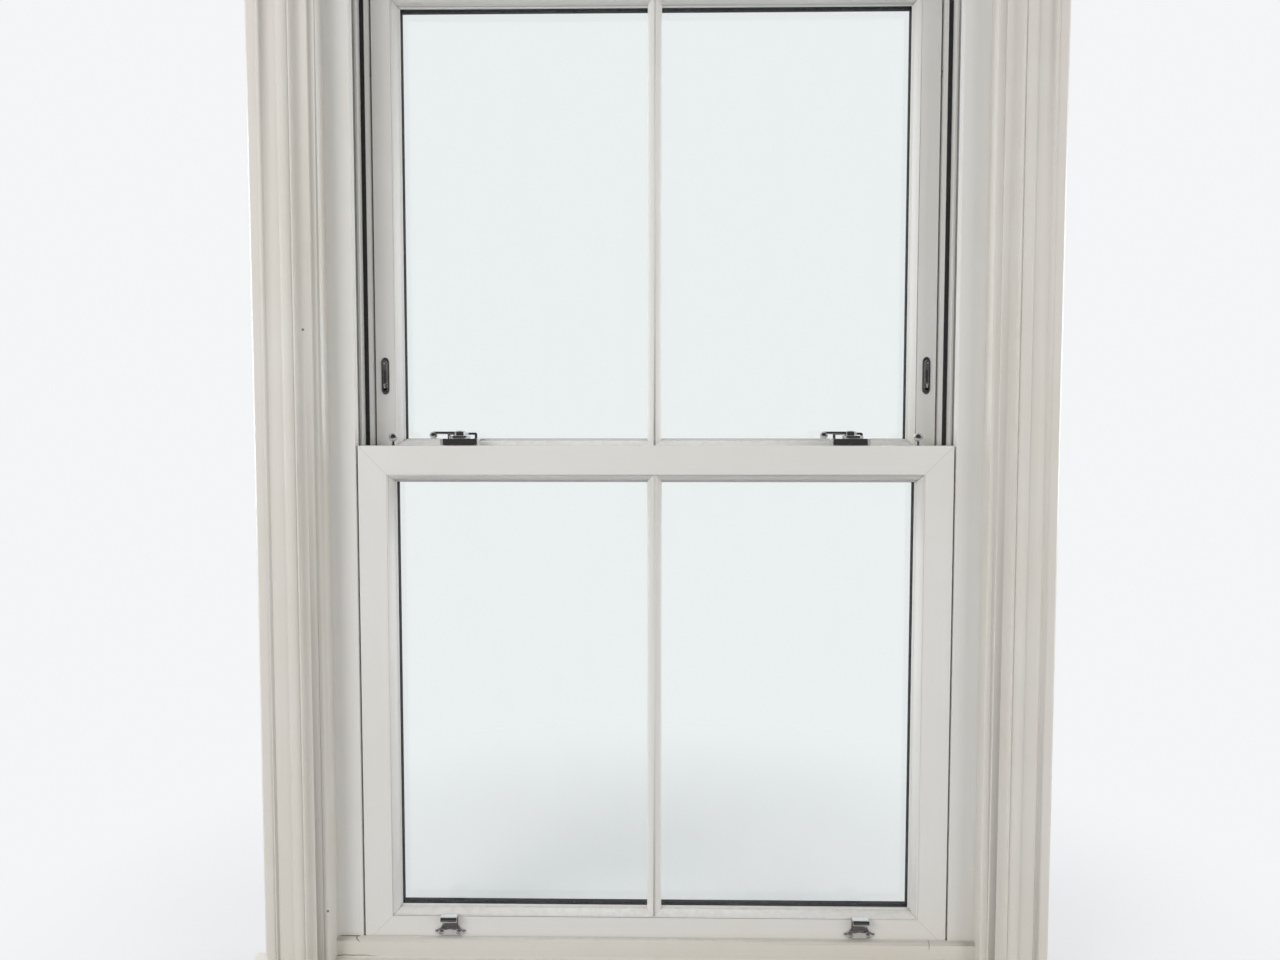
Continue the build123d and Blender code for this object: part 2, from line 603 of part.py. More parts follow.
def tilt_latch(edge, top, with_knob):
    """Tilt latch of the right stile, in the top rail's corner: tray, bolt and the room it needs in the sash."""
    high = top - SASH_WALL - BEAD_FIT
    bolt_top = high - HOUSING_WALL - BOLT_FIT
    bolt_low = bolt_top - BOLT_HEIGHT
    low = bolt_low - BOLT_FIT - HOUSING_WALL
    inner = edge - SASH_WALL - HOUSING_LENGTH
    outer = edge - SASH_WALL - BEAD_FIT
    half, wall = BOLT_WIDTH / 2, HOUSING_WALL
    knob_x = edge - LATCH_INSET
    tray = block(inner, outer, -half - BOLT_FIT - wall, half + BOLT_FIT + wall, low, high)
    tray -= block(inner + wall, edge, -half - BOLT_FIT, half + BOLT_FIT, low + wall, high - wall)
    slot = block(knob_x - LATCH_TRAVEL - 4, knob_x + 4, -4, 4, bolt_low, top + 1)
    tray -= slot
    nose = edge + LATCH_NOSE
    bolt_end = inner + wall + LATCH_TRAVEL + 14
    bolt = block(bolt_end, nose, -half, half, bolt_low, bolt_top)
    bevel = bolt.edges().filter_by(Axis.Z).group_by(Axis.X)[-1].sort_by(Axis.Y)[0]
    bolt = chamfer(bevel, LATCH_NOSE * 0.8)
    if with_knob:
        stalk = Pos(knob_x, 0, (bolt_low + top + KNOB_HEIGHT) / 2 - 2)
        bolt += stalk * Cylinder(STALK_RADIUS, top + KNOB_HEIGHT - bolt_low - 4)
        bolt += Pos(knob_x, 0, top + KNOB_HEIGHT - LATCH_BALL) * turned_knob(LATCH_BALL)
    side = half + BOLT_FIT
    exit_hole = block(edge - 2 * SASH_WALL, edge + 1, -side, side, bolt_low - BOLT_FIT, bolt_top + BOLT_FIT)
    start = inner + wall + SPRING_LEAF / 2
    bend = (bolt_end - start - SPRING_LEAF / 2) / SPRING_BENDS
    bends = [(start + i * bend, SPRING_REACH * (-1) ** i) for i in range(SPRING_BENDS + 1)]
    spring = along_z(trace(Polyline(*bends), SPRING_LEAF), bolt_low + BOLT_FIT, bolt_top - BOLT_FIT)
    return {"tray": tray, "bolt": bolt, "spring": spring, "room": exit_hole + slot}


def lift_hook():
    """Hook lift: lozenge plate with a neck that rises and curls over towards the room."""
    half, plate, strip = HOOK_WIDTH / 2, HOOK_PLATE / 2, HOOK_STRIP
    shoulder, neck = half - plate, HOOK_LIP_WIDTH / 2
    curl = HOOK_HEIGHT - HOOK_CURL
    outline = Polygon(
        (-half, plate), (-shoulder, 0), (shoulder, 0), (half, plate), (shoulder, 2 * plate), (neck, 3 * plate),
        (neck, curl), (-neck, curl), (-neck, 3 * plate), (-shoulder, 2 * plate), align=None,
    )
    tips = outline.vertices().filter_by(lambda v: abs(abs(v.X) - half) < 0.01)
    outline = fillet(tips, 2)
    blade = towards_room(outline, strip)
    centre = Pos(-HOOK_CURL, curl)
    roll = centre * Circle(HOOK_CURL) - centre * Circle(HOOK_CURL - strip)
    roll -= Pos(-HOOK_CURL, curl - HOOK_CURL) * Rectangle(4 * HOOK_CURL, 2 * HOOK_CURL)
    tip = Pos(-2 * HOOK_CURL + strip / 2, curl - HOOK_TIP / 2) * Rectangle(strip, HOOK_TIP)
    return blade + along_x(roll + tip, HOOK_LIP_WIDTH)


def restrictor():
    """Travel restrictor modelled on its centre at the stile's face: plate with its box and pin, and the wedge."""
    half, end = RESTRICTOR_WIDTH / 2, RESTRICTOR_LENGTH / 2
    point = end - half
    outline = Polygon(
        (-half / 2, end), (half / 2, end), (half, point + half / 2), (half, -point - half / 2), (half / 2, -end),
        (-half / 2, -end), (-half, -point - half / 2), (-half, point + half / 2), align=None,
    )
    plate = towards_room(outline, RESTRICTOR_PLATE)
    plate = chamfer(plate.edges().group_by(Axis.Y)[0], RESTRICTOR_PLATE * 0.6)
    slot, reach = RESTRICTOR_SLOT / 2, RESTRICTOR_SLOT_LENGTH / 2
    wall = RESTRICTOR_WALL
    box = block(-slot - wall, slot + wall, 0, RESTRICTOR_DEPTH, -reach - wall, reach + wall)
    cavity = block(-slot, slot, -RESTRICTOR_PLATE - 1, RESTRICTOR_DEPTH - wall, -reach, reach)
    pin_z = reach - WEDGE_THICKNESS / 2 - WEDGE_FIT
    pin_y = WEDGE_THICKNESS / 2 - RESTRICTOR_PLATE + WEDGE_FIT
    pin = Pos(0, pin_y, pin_z) * Rot(0, 90, 0) * Cylinder(WEDGE_PIN, 2 * (slot + wall))
    body = plate + box - cavity + pin
    thick = WEDGE_THICKNESS / 2
    profile = Polygon(
        (pin_y - thick, pin_z), (pin_y - thick, pin_z - WEDGE_LENGTH + 3 * thick),
        (pin_y - thick + 2, pin_z - WEDGE_LENGTH + thick), (pin_y + thick, pin_z - WEDGE_LENGTH + thick),
        (pin_y + thick, pin_z), align=None,
    )
    profile += Pos(pin_y, pin_z) * Circle(thick)
    profile -= Pos(pin_y, pin_z) * Circle(WEDGE_PIN + RUNNING_FIT)
    wedge = along_x(profile, RESTRICTOR_SLOT - 2 * WEDGE_FIT)
    pocket = block(-slot - wall - BEAD_FIT, slot + wall + BEAD_FIT, -0.01, RESTRICTOR_DEPTH + BEAD_FIT,
                   -reach - wall - BEAD_FIT, reach + wall + BEAD_FIT)
    return {"body": body, "wedge": wedge, "pocket": pocket}


def balance(track, centre, sash_edge, sash_low, lift):
    """Right-hand balance of one sash: tube fixed in the jamb, rod, shoe and the pivot bar that rides in the shoe.

    lift is True for the sash that rises from rest, False for the one that comes down.
    """
    y = place(centre)
    floor = track + CHANNEL_DEPTH
    axis_x = floor - TUBE_SETBACK
    shoe_low = sash_low + BEAD_FIT
    shoe_high = shoe_low + SHOE_HEIGHT
    tube_low = shoe_high + TUBE_GAP + (LIFT_TRAVEL + TILT_LIFT if lift else 0)
    rod_top = tube_low + ROD_OVERLAP + (0 if lift else LIFT_TRAVEL)
    tube_high = tube_low + LIFT_TRAVEL + ROD_OVERLAP + TUBE_END
    middle = Pos(axis_x, y, 0)
    tube = along_z(Circle(TUBE_RADIUS) - Circle(TUBE_RADIUS - TUBE_WALL), tube_low, tube_high)
    plug = along_z(Circle(TUBE_RADIUS - TUBE_WALL), tube_high - TUBE_END / 2, tube_high)
    bracket = block(-TUBE_RADIUS, TUBE_SETBACK, -TUBE_RADIUS, TUBE_RADIUS, tube_high, tube_high + TUBE_END)
    rod = along_z(Rectangle(ROD_WIDTH, ROD_THICKNESS), shoe_low - ROD_FOOT, rod_top)
    rod += along_z(Rectangle(ROD_FOOT_WIDTH, ROD_WIDTH), shoe_low - ROD_FOOT, shoe_low)
    width = CHANNEL_WIDTH / 2 - SHOE_CLEARANCE
    shoe = block(track + LIP + SHOE_CLEARANCE, floor - SHOE_CLEARANCE, y - width, y + width, shoe_low, shoe_high)
    slot = ROD_WIDTH / 2 + SHOE_CLEARANCE
    shoe -= block(axis_x - slot, floor, y - slot, y + slot, shoe_low, shoe_high)
    pivot_z = sash_low + PIVOT_HEIGHT
    tip = sash_edge + PIVOT_REACH
    bar = Pos((tip + sash_edge - PIVOT_INSET) / 2, y, pivot_z) * Rot(0, 90, 0) * Cylinder(PIVOT_RADIUS, PIVOT_REACH + PIVOT_INSET)
    socket = Pos(sash_edge, y, pivot_z) * Rot(0, 90, 0) * Cylinder(PIVOT_RADIUS + RUNNING_FIT, 2 * PIVOT_REACH + 1)
    hole = Pos(sash_edge, y, pivot_z) * Rot(0, 90, 0) * Cylinder(PIVOT_RADIUS, 4 * SASH_WALL)
    return {
        "tube": middle * (tube + plug + bracket), "rod": middle * rod, "shoe": shoe - socket,
        "pivot_bar": bar, "hole": hole,
    }


def build():
    """Every piece of the window, by node name."""
    nodes = {**outer_frame(), **subsill(), **architraves(), **board_and_trim()}
    nodes["brush_piles"] = brush_piles()
    nodes["sill_seal"] = sill_seal()
    lower = sash(LOWER_FRONT, LOWER_Z, SASH_FACE)
    upper = sash(UPPER_FRONT, UPPER_Z, UPPER_STILE_FACE)

    lower_balance = balance(INNER_TRACK, LOWER_CENTRE, LOWER_HALF, LOWER_Z, True)
    upper_balance = balance(OUTER_TRACK, UPPER_CENTRE, UPPER_HALF, UPPER_Z, False)
    for name, sides in (("lower", lower_balance), ("upper", upper_balance)):
        nodes[f"{name}_balance_tubes"] = pair(sides["tube"])
        nodes[f"{name}_balance_rods"] = pair(sides["rod"])
        nodes[f"{name}_shoes"] = pair(sides["shoe"])
        nodes[f"{name}_pivot_bars"] = pair(sides["pivot_bar"])

    for name, pieces, edge, top, centre, knob in (
        ("lower", lower, LOWER_HALF, LOWER_TOP, LOWER_CENTRE, True),
        ("upper", upper, UPPER_HALF, UPPER_TOP, UPPER_CENTRE, False),
    ):
        latch = tilt_latch(edge, top, knob)
        at = Pos(0, place(centre), 0)
        nodes[f"{name}_latch_trays"] = pair(at * latch["tray"])
        nodes[f"{name}_latch_springs"] = pair(at * latch["spring"])
        bolts = both_sides(at * latch["bolt"])
        rooms = both_sides(at * latch["room"])
        holes = both_sides((lower_balance if knob else upper_balance)["hole"])
        for side in SIDES:
            nodes[f"{name}_latch_bolt_{side}"] = bolts[side]
            pieces[f"stile_{side}"] = pieces[f"stile_{side}"] - rooms[side] - holes[side]
            pieces["top_rail"] = pieces["top_rail"] - rooms[side]

    fitting = catch()
    for side, sign in SIDES.items():
        spot = Pos(sign * CATCH_X, place(LOWER_FRONT + CATCH_DEPTH), LOWER_TOP)
        nodes[f"catch_base_{side}"] = spot * fitting["base"]
        nodes[f"catch_lever_{side}"] = spot * fitting["lever"]
    nodes["catch_keeps"] = pair(Pos(CATCH_X, place(UPPER_FRONT), LOWER_TOP) * keep())
    nodes["lift_hooks"] = pair(Pos(HOOK_X, place(LOWER_FRONT), TRIM_TOP + HOOK_GAP) * lift_hook())
    nodes["meeting_brush"] = meeting_brush()

    limiter = restrictor()
    limiter_x = (BEAD_LINE + UPPER_HALF) / 2
    at = Pos(limiter_x, place(UPPER_FRONT), LOWER_TOP + RESTRICTOR_ABOVE)
    nodes["restrictor_plates"] = pair(at * limiter["body"])
    wedges = both_sides(at * limiter["wedge"])
    pockets = both_sides(at * limiter["pocket"])
    for side in SIDES:
        nodes[f"restrictor_wedge_{side}"] = wedges[side]
        upper[f"stile_{side}"] = upper[f"stile_{side}"] - pockets[side]

    for name, pieces in (("lower", lower), ("upper", upper)):
        for piece, shape in pieces.items():
            nodes[f"{name}_{piece}"] = shape
    return nodes


os.makedirs("parts", exist_ok=True)
for node, shape in build().items():
    export_step(shape, f"parts/{node}.step")
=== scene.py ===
"""Looks of a vertical sliding sash window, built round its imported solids.

White plastic frame and sashes, painted timber architrave and board, chrome catches, lifts and
tilt knobs.
Sizes are metres, in the window's own frame: X across, Y from indoors to outdoors, Z up.
"""
from __future__ import annotations

import json
import logging
import math
import random
from collections.abc import Callable, Iterable, Sequence
from dataclasses import dataclass
from enum import Enum

import bmesh
import bpy
from bmesh.types import BMEdge, BMFace, BMVert
from bpy.types import Material, Node, NodeSocket, Object, World
from mathutils import Matrix, Vector, noise

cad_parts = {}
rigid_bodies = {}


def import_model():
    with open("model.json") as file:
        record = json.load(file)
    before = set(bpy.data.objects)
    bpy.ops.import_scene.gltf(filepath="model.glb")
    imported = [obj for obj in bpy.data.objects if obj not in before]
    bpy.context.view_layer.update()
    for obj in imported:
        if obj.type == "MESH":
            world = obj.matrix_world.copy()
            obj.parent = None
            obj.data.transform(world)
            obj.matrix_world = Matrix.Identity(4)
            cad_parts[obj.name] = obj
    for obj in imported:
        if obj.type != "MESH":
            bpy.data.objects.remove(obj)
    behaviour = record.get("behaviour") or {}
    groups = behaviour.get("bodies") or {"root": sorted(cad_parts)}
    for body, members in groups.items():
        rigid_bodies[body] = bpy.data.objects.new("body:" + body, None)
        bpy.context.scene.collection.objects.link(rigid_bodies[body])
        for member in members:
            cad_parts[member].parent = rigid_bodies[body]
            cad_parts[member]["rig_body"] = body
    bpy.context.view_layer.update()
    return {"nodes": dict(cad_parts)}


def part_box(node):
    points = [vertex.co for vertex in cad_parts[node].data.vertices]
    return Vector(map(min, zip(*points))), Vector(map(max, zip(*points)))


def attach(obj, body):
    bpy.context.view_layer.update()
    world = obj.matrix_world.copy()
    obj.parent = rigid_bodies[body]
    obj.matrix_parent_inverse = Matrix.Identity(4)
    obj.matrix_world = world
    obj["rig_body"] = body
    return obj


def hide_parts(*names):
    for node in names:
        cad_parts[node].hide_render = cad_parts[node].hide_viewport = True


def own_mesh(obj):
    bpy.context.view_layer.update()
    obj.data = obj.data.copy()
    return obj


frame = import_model()
LOG = logging.getLogger("sash_window")

MM = 0.001
HOLE_FACETS = 32
TOUCH = 1e-6
SOLID_TOUCH = 2e-6
Colour = tuple[float, float, float]
Place = tuple[float, float, float]
Point = tuple[float, float]
MeshPart = BMVert | BMEdge | BMFace


class Side(Enum):
    """Which side of the window a handed fitting is on, seen from indoors."""

    LEFT = -1
    RIGHT = 1

    @property
    def word(self) -> str:
        """The side's word in piece names."""
        return self.name.lower()


class Run(Enum):
    """Which way a length of plastic or timber runs: how a streak is squeezed along X, Y and Z."""

    ACROSS = (0.012, 1.0, 1.0)
    UPRIGHT = (1.0, 1.0, 0.012)
    NONE = (1.0, 1.0, 1.0)


class Soil(Enum):
    """What settles on a surface or marks it: its tint, and how much of the surface it hides."""

    STREAK = ((0.70, 0.70, 0.69), 0.16)
    SCUFF = ((0.42, 0.41, 0.39), 0.12)
    DUST = ((0.36, 0.34, 0.30), 0.22)
    WELD_LINE = ((0.30, 0.29, 0.27), 0.55)
    TIMBER_DUST = ((0.40, 0.37, 0.33), 0.19)
    KNOCK = ((0.42, 0.38, 0.33), 0.14)
    PIN_HOLE = ((0.10, 0.08, 0.06), 0.8)
    MITRE_LINE = ((0.33, 0.30, 0.27), 0.5)
    # Tint of the crack lines, also used for the painted shadow line at the cover strip's top.
    CRACK = ((0.13, 0.11, 0.08), 0.85)
    PIT = ((0.20, 0.17, 0.14), 0.7)
    BLOOM = ((0.62, 0.62, 0.60), 0.3)
    LINT = ((0.22, 0.21, 0.20), 0.35)

    @property
    def tint(self) -> Colour:
        """Its colour."""
        return self.value[0]

    @property
    def share(self) -> float:
        """How much of the surface it usually hides, 0 to 1."""
        return self.value[1]


class SashPlace(Enum):
    """The two sashes, with the heights of the bottom and top bead lines of each."""

    LOWER = (122.7 * MM, 804.3 * MM)
    UPPER = (844.7 * MM, 1526.3 * MM)

    @property
    def word(self) -> str:
        """The sash's word in piece names."""
        return self.name.lower()


# ---------------------------------------------------------------- finishes


@dataclass(frozen=True)
class Mottle:
    """A soft random pattern: blotches a metre, how fine and rough, and the levels it is cut to."""

    scale: float
    detail: float = 3.0
    roughness: float = 0.55
    levels: Point | None = None


@dataclass(frozen=True)
class Specks:
    """Random points: so many a metre, and the distances from them between which they show."""

    scale: float
    levels: Point


def shade(tint: Colour, *factors: float) -> Colour:
    """A tint with its red, green and blue times one factor each, or all times the same one."""
    return tuple(part * factor for part, factor in zip(tint, factors * 3))


class Signal:
    """An output of a finish's node tree, ready for arithmetic."""

    def __init__(self, recipe: Recipe, socket: NodeSocket) -> None:
        """Wraps one socket of a recipe."""
        self.recipe = recipe
        self.socket = socket

    def _math(self, operation: str, *values: Signal | float) -> Signal:
        """Adds a Math node on these values."""
        sockets = dict(enumerate(values))
        return self.recipe.signal("ShaderNodeMath", {"operation": operation}, sockets)

    def __add__(self, other: Signal | float) -> Signal:
        """Sum."""
        return self._math("ADD", self, other)

    __radd__ = __add__

    def __sub__(self, other: Signal | float) -> Signal:
        """Difference."""
        return self._math("SUBTRACT", self, other)

    def __rsub__(self, other: float) -> Signal:
        """Difference from a number."""
        return self._math("SUBTRACT", other, self)

    def __mul__(self, other: Signal | float) -> Signal:
        """Product."""
        return self._math("MULTIPLY", self, other)

    def __abs__(self) -> Signal:
        """Size without its sign."""
        return self._math("ABSOLUTE", self)

    def least(self, other: Signal | float) -> Signal:
        """The smaller of two values."""
        return self._math("MINIMUM", self, other)

    def most(self, other: Signal | float) -> Signal:
        """The larger of two values."""
        return self._math("MAXIMUM", self, other)

    def rise(self, start: float, end: float) -> Signal:
        """Smooth step from 0 at start to 1 at end; start may be above end.

        Args:
            start: value at which the step begins.
            end: value at which it is complete.

        Returns:
            A signal from 0 to 1.
        """
        low, high = min(start, end), max(start, end)
        step = self.recipe.signal(
            "ShaderNodeMapRange", {"interpolation_type": "SMOOTHSTEP"},
            {"Value": self, "From Min": low, "From Max": high},
        )
        return step if start < end else 1.0 - step


class Recipe:
    """The node tree of one finish, or of the studio's surroundings."""

    def __init__(self, name: str, world: World | None = None) -> None:
        """Starts a new material, or clears a world, and adds its output node.

        Args:
            name: name of the material.
            world: the surroundings, where the recipe is theirs.
        """
        self.holder = world or bpy.data.materials.new(name)
        self.holder.use_nodes = True
        self.tree = self.holder.node_tree
        self.tree.nodes.clear()
        self.output = self.add("ShaderNodeOutputWorld" if world else "ShaderNodeOutputMaterial")

    @staticmethod
    def _socket(sockets: Iterable[NodeSocket], key: str | int) -> NodeSocket:
        """Finds a socket by index, identifier or name."""
        named = [] if isinstance(key, int) else [s for s in sockets if s.identifier == key]
        return named[0] if named else sockets[key]

    def add(self, kind: str, settings: dict | None = None, values: dict | None = None) -> Node:
        """Adds a node: its settings first, then the values or links of its sockets.

        Args:
            kind: the node's type name.
            settings: attributes of the node.
            values: socket names or indices with a number, a colour or a Signal.

        Returns:
            The new node.
        """
        node = self.tree.nodes.new(kind)
        for key, value in (settings or {}).items():
            setattr(node, key, value)
        for key, value in (values or {}).items():
            socket = self._socket(node.inputs, key)
            if isinstance(value, Signal):
                self.tree.links.new(value.socket, socket)
            elif socket.type == "RGBA":
                socket.default_value = (*value, 1.0)
            else:
                socket.default_value = value
        return node

    def signal(
        self, kind: str, settings: dict | None = None, values: dict | None = None,
        output: str | int = 0,
    ) -> Signal:
        """Adds a node and returns one of its outputs as a Signal."""
        return Signal(self, self._socket(self.add(kind, settings, values).outputs, output))

    def position(self) -> Signal:
        """Where a point of the piece is, in metres."""
        return self.signal("ShaderNodeTexCoord", output="Object")

    def facing(self) -> tuple[Signal, Signal, Signal]:
        """The three parts of the surface's own normal."""
        return self.parts(self.signal("ShaderNodeNewGeometry", output="Normal"))

    def parts(self, vector: Signal) -> tuple[Signal, Signal, Signal]:
        """Splits a vector into its X, Y and Z."""
        split = self.add("ShaderNodeSeparateXYZ", values={0: vector})
        return tuple(Signal(self, split.outputs[i]) for i in range(3))

    def stretched(self, vector: Signal, factors: Sequence[float]) -> Signal:
        """The vector with each part times its factor."""
        return self.signal("ShaderNodeMapping", values={"Vector": vector, "Scale": tuple(factors)})

    def mottle(self, vector: Signal, kind: Mottle) -> Signal:
        """Soft random pattern from 0 to 1, cut to its levels where it has them.

        Args:
            vector: the place it is read at.
            kind: the pattern's sizes.

        Returns:
            The pattern.
        """
        values = {
            "Vector": vector, "Scale": kind.scale, "Detail": kind.detail,
            "Roughness": kind.roughness,
        }
        soft = self.signal("ShaderNodeTexNoise", {"noise_dimensions": "3D"}, values, "Fac")
        return soft.rise(*kind.levels) if kind.levels else soft

    def specks(self, vector: Signal, kind: Specks) -> Signal:
        """Random specks, from 0 to 1."""
        values = {"Vector": vector, "Scale": kind.scale}
        return self.signal("ShaderNodeTexVoronoi", {}, values, "Distance").rise(*kind.levels)

    def mix(
        self, amount: Signal | float, first: Signal | Colour, second: Signal | Colour
    ) -> Signal:
        """Colour between two colours."""
        return self.signal(
            "ShaderNodeMix", {"data_type": "RGBA"},
            {"Factor_Float": amount, "A_Color": first, "B_Color": second}, "Result_Color",
        )

    def blend(self, share: Signal, first: Signal, second: Signal) -> Signal:
        """Surface between two surfaces."""
        return self.signal("ShaderNodeMixShader", values={0: share, 1: first, 2: second})

    def soiled(
        self, base: Signal | Colour, where: Signal, soil: Soil, share: float | None = None
    ) -> Signal:
        """The colour with soil over it where a pattern says so, as much as is usual or a share."""
        return self.mix(where * (soil.share if share is None else share), base, soil.tint)

    def bump(self, height: Signal, strength: float, distance: float) -> Signal:
        """Normal that follows a height pattern, so strong and so many metres deep."""
        values = {"Height": height, "Strength": strength, "Distance": distance}
        return self.signal("ShaderNodeBump", values=values)

    def surface(self, values: dict) -> Signal:
        """Principled surface with these socket values."""
        return self.signal("ShaderNodeBsdfPrincipled", values=values)

    def done(self, shader: Signal) -> Material | World:
        """Joins a shader to the output and returns the material or world."""
        self.tree.links.new(shader.socket, self.output.inputs["Surface"])
        return self.holder

    def dressed(self, values: dict) -> Material:
        """Joins a principled surface with these socket values and returns the material."""
        return self.done(self.surface(values))


@dataclass(frozen=True)
class WhitePlastic:
    """Extruded white plastic: satin skin with die lines, weld lines, faint scuffs and dust."""

    name: str
    run: Run = Run.NONE
    tint: Colour = (0.80, 0.80, 0.785)
    gloss: float = 0.27
    bead_half: float = 402.8 * MM
    welds: Point | None = None
    grime: float | None = None
    weld_width: float = 0.62 * MM
    weld_core: float = 0.22 * MM
    wander: Mottle = Mottle(60.0)
    cloud: Mottle = Mottle(3.1, 4.0)
    streaks: Mottle = Mottle(420.0, 2.0)
    scuffs: Mottle = Mottle(38.0, 6.0, 0.72, (0.66, 0.78))
    wipe: Place = (1.0, 1.0, 0.35)
    dust: Mottle = Mottle(90.0, 5.0, 0.7, (0.36, 0.72))
    dust_slope: Point = (0.55, 0.95)
    skin: Mottle = Mottle(700.0, 2.0)

    def weld_line(self, recipe: Recipe, x: Signal, z: Signal) -> Signal:
        """Hairline along the four mitres of a welded sash.

        Args:
            recipe: the finish's nodes.
            x: place across.
            z: place up.

        Returns:
            1 on the line, 0 off it.
        """
        low, high = self.welds
        out = abs(x) - self.bead_half
        gap = abs(out + z - low).least(abs(out - z + high))
        wander = recipe.mottle(recipe.position(), self.wander) * 0.25 * MM
        return (gap + wander).rise(self.weld_width, self.weld_core)

    def material(self) -> Material:
        """Builds the finish.

        Returns:
            The material.
        """
        recipe = Recipe(self.name)
        place = recipe.position()
        x, _, z = recipe.parts(place)
        _, _, up = recipe.facing()
        cloud = recipe.mottle(place, self.cloud)
        streaks = recipe.mottle(recipe.stretched(place, self.run.value), self.streaks)
        scuffs = recipe.mottle(recipe.stretched(place, self.wipe), self.scuffs)
        dust = up.rise(*self.dust_slope) * recipe.mottle(place, self.dust)
        base = recipe.mix(cloud.rise(0.35, 0.75), self.tint, shade(self.tint, 0.965, 0.955, 0.93))
        base = recipe.soiled(base, streaks.rise(0.45, 0.8), Soil.STREAK)
        base = recipe.soiled(base, scuffs, Soil.SCUFF)
        base = recipe.soiled(base, dust, Soil.DUST, self.grime)
        height = streaks * 0.5 + recipe.mottle(place, self.skin) * 0.5
        if self.welds:
            line = self.weld_line(recipe, x, z)
            base = recipe.soiled(base, line, Soil.WELD_LINE)
            height = height - line * 2.0
        shine = self.gloss + cloud * 0.06 + scuffs * 0.12 + dust * 0.25
        return recipe.dressed({
            "Base Color": base, "Roughness": shine, "IOR": 1.53,
            "Normal": recipe.bump(height, 0.14, 0.12 * MM),
        })


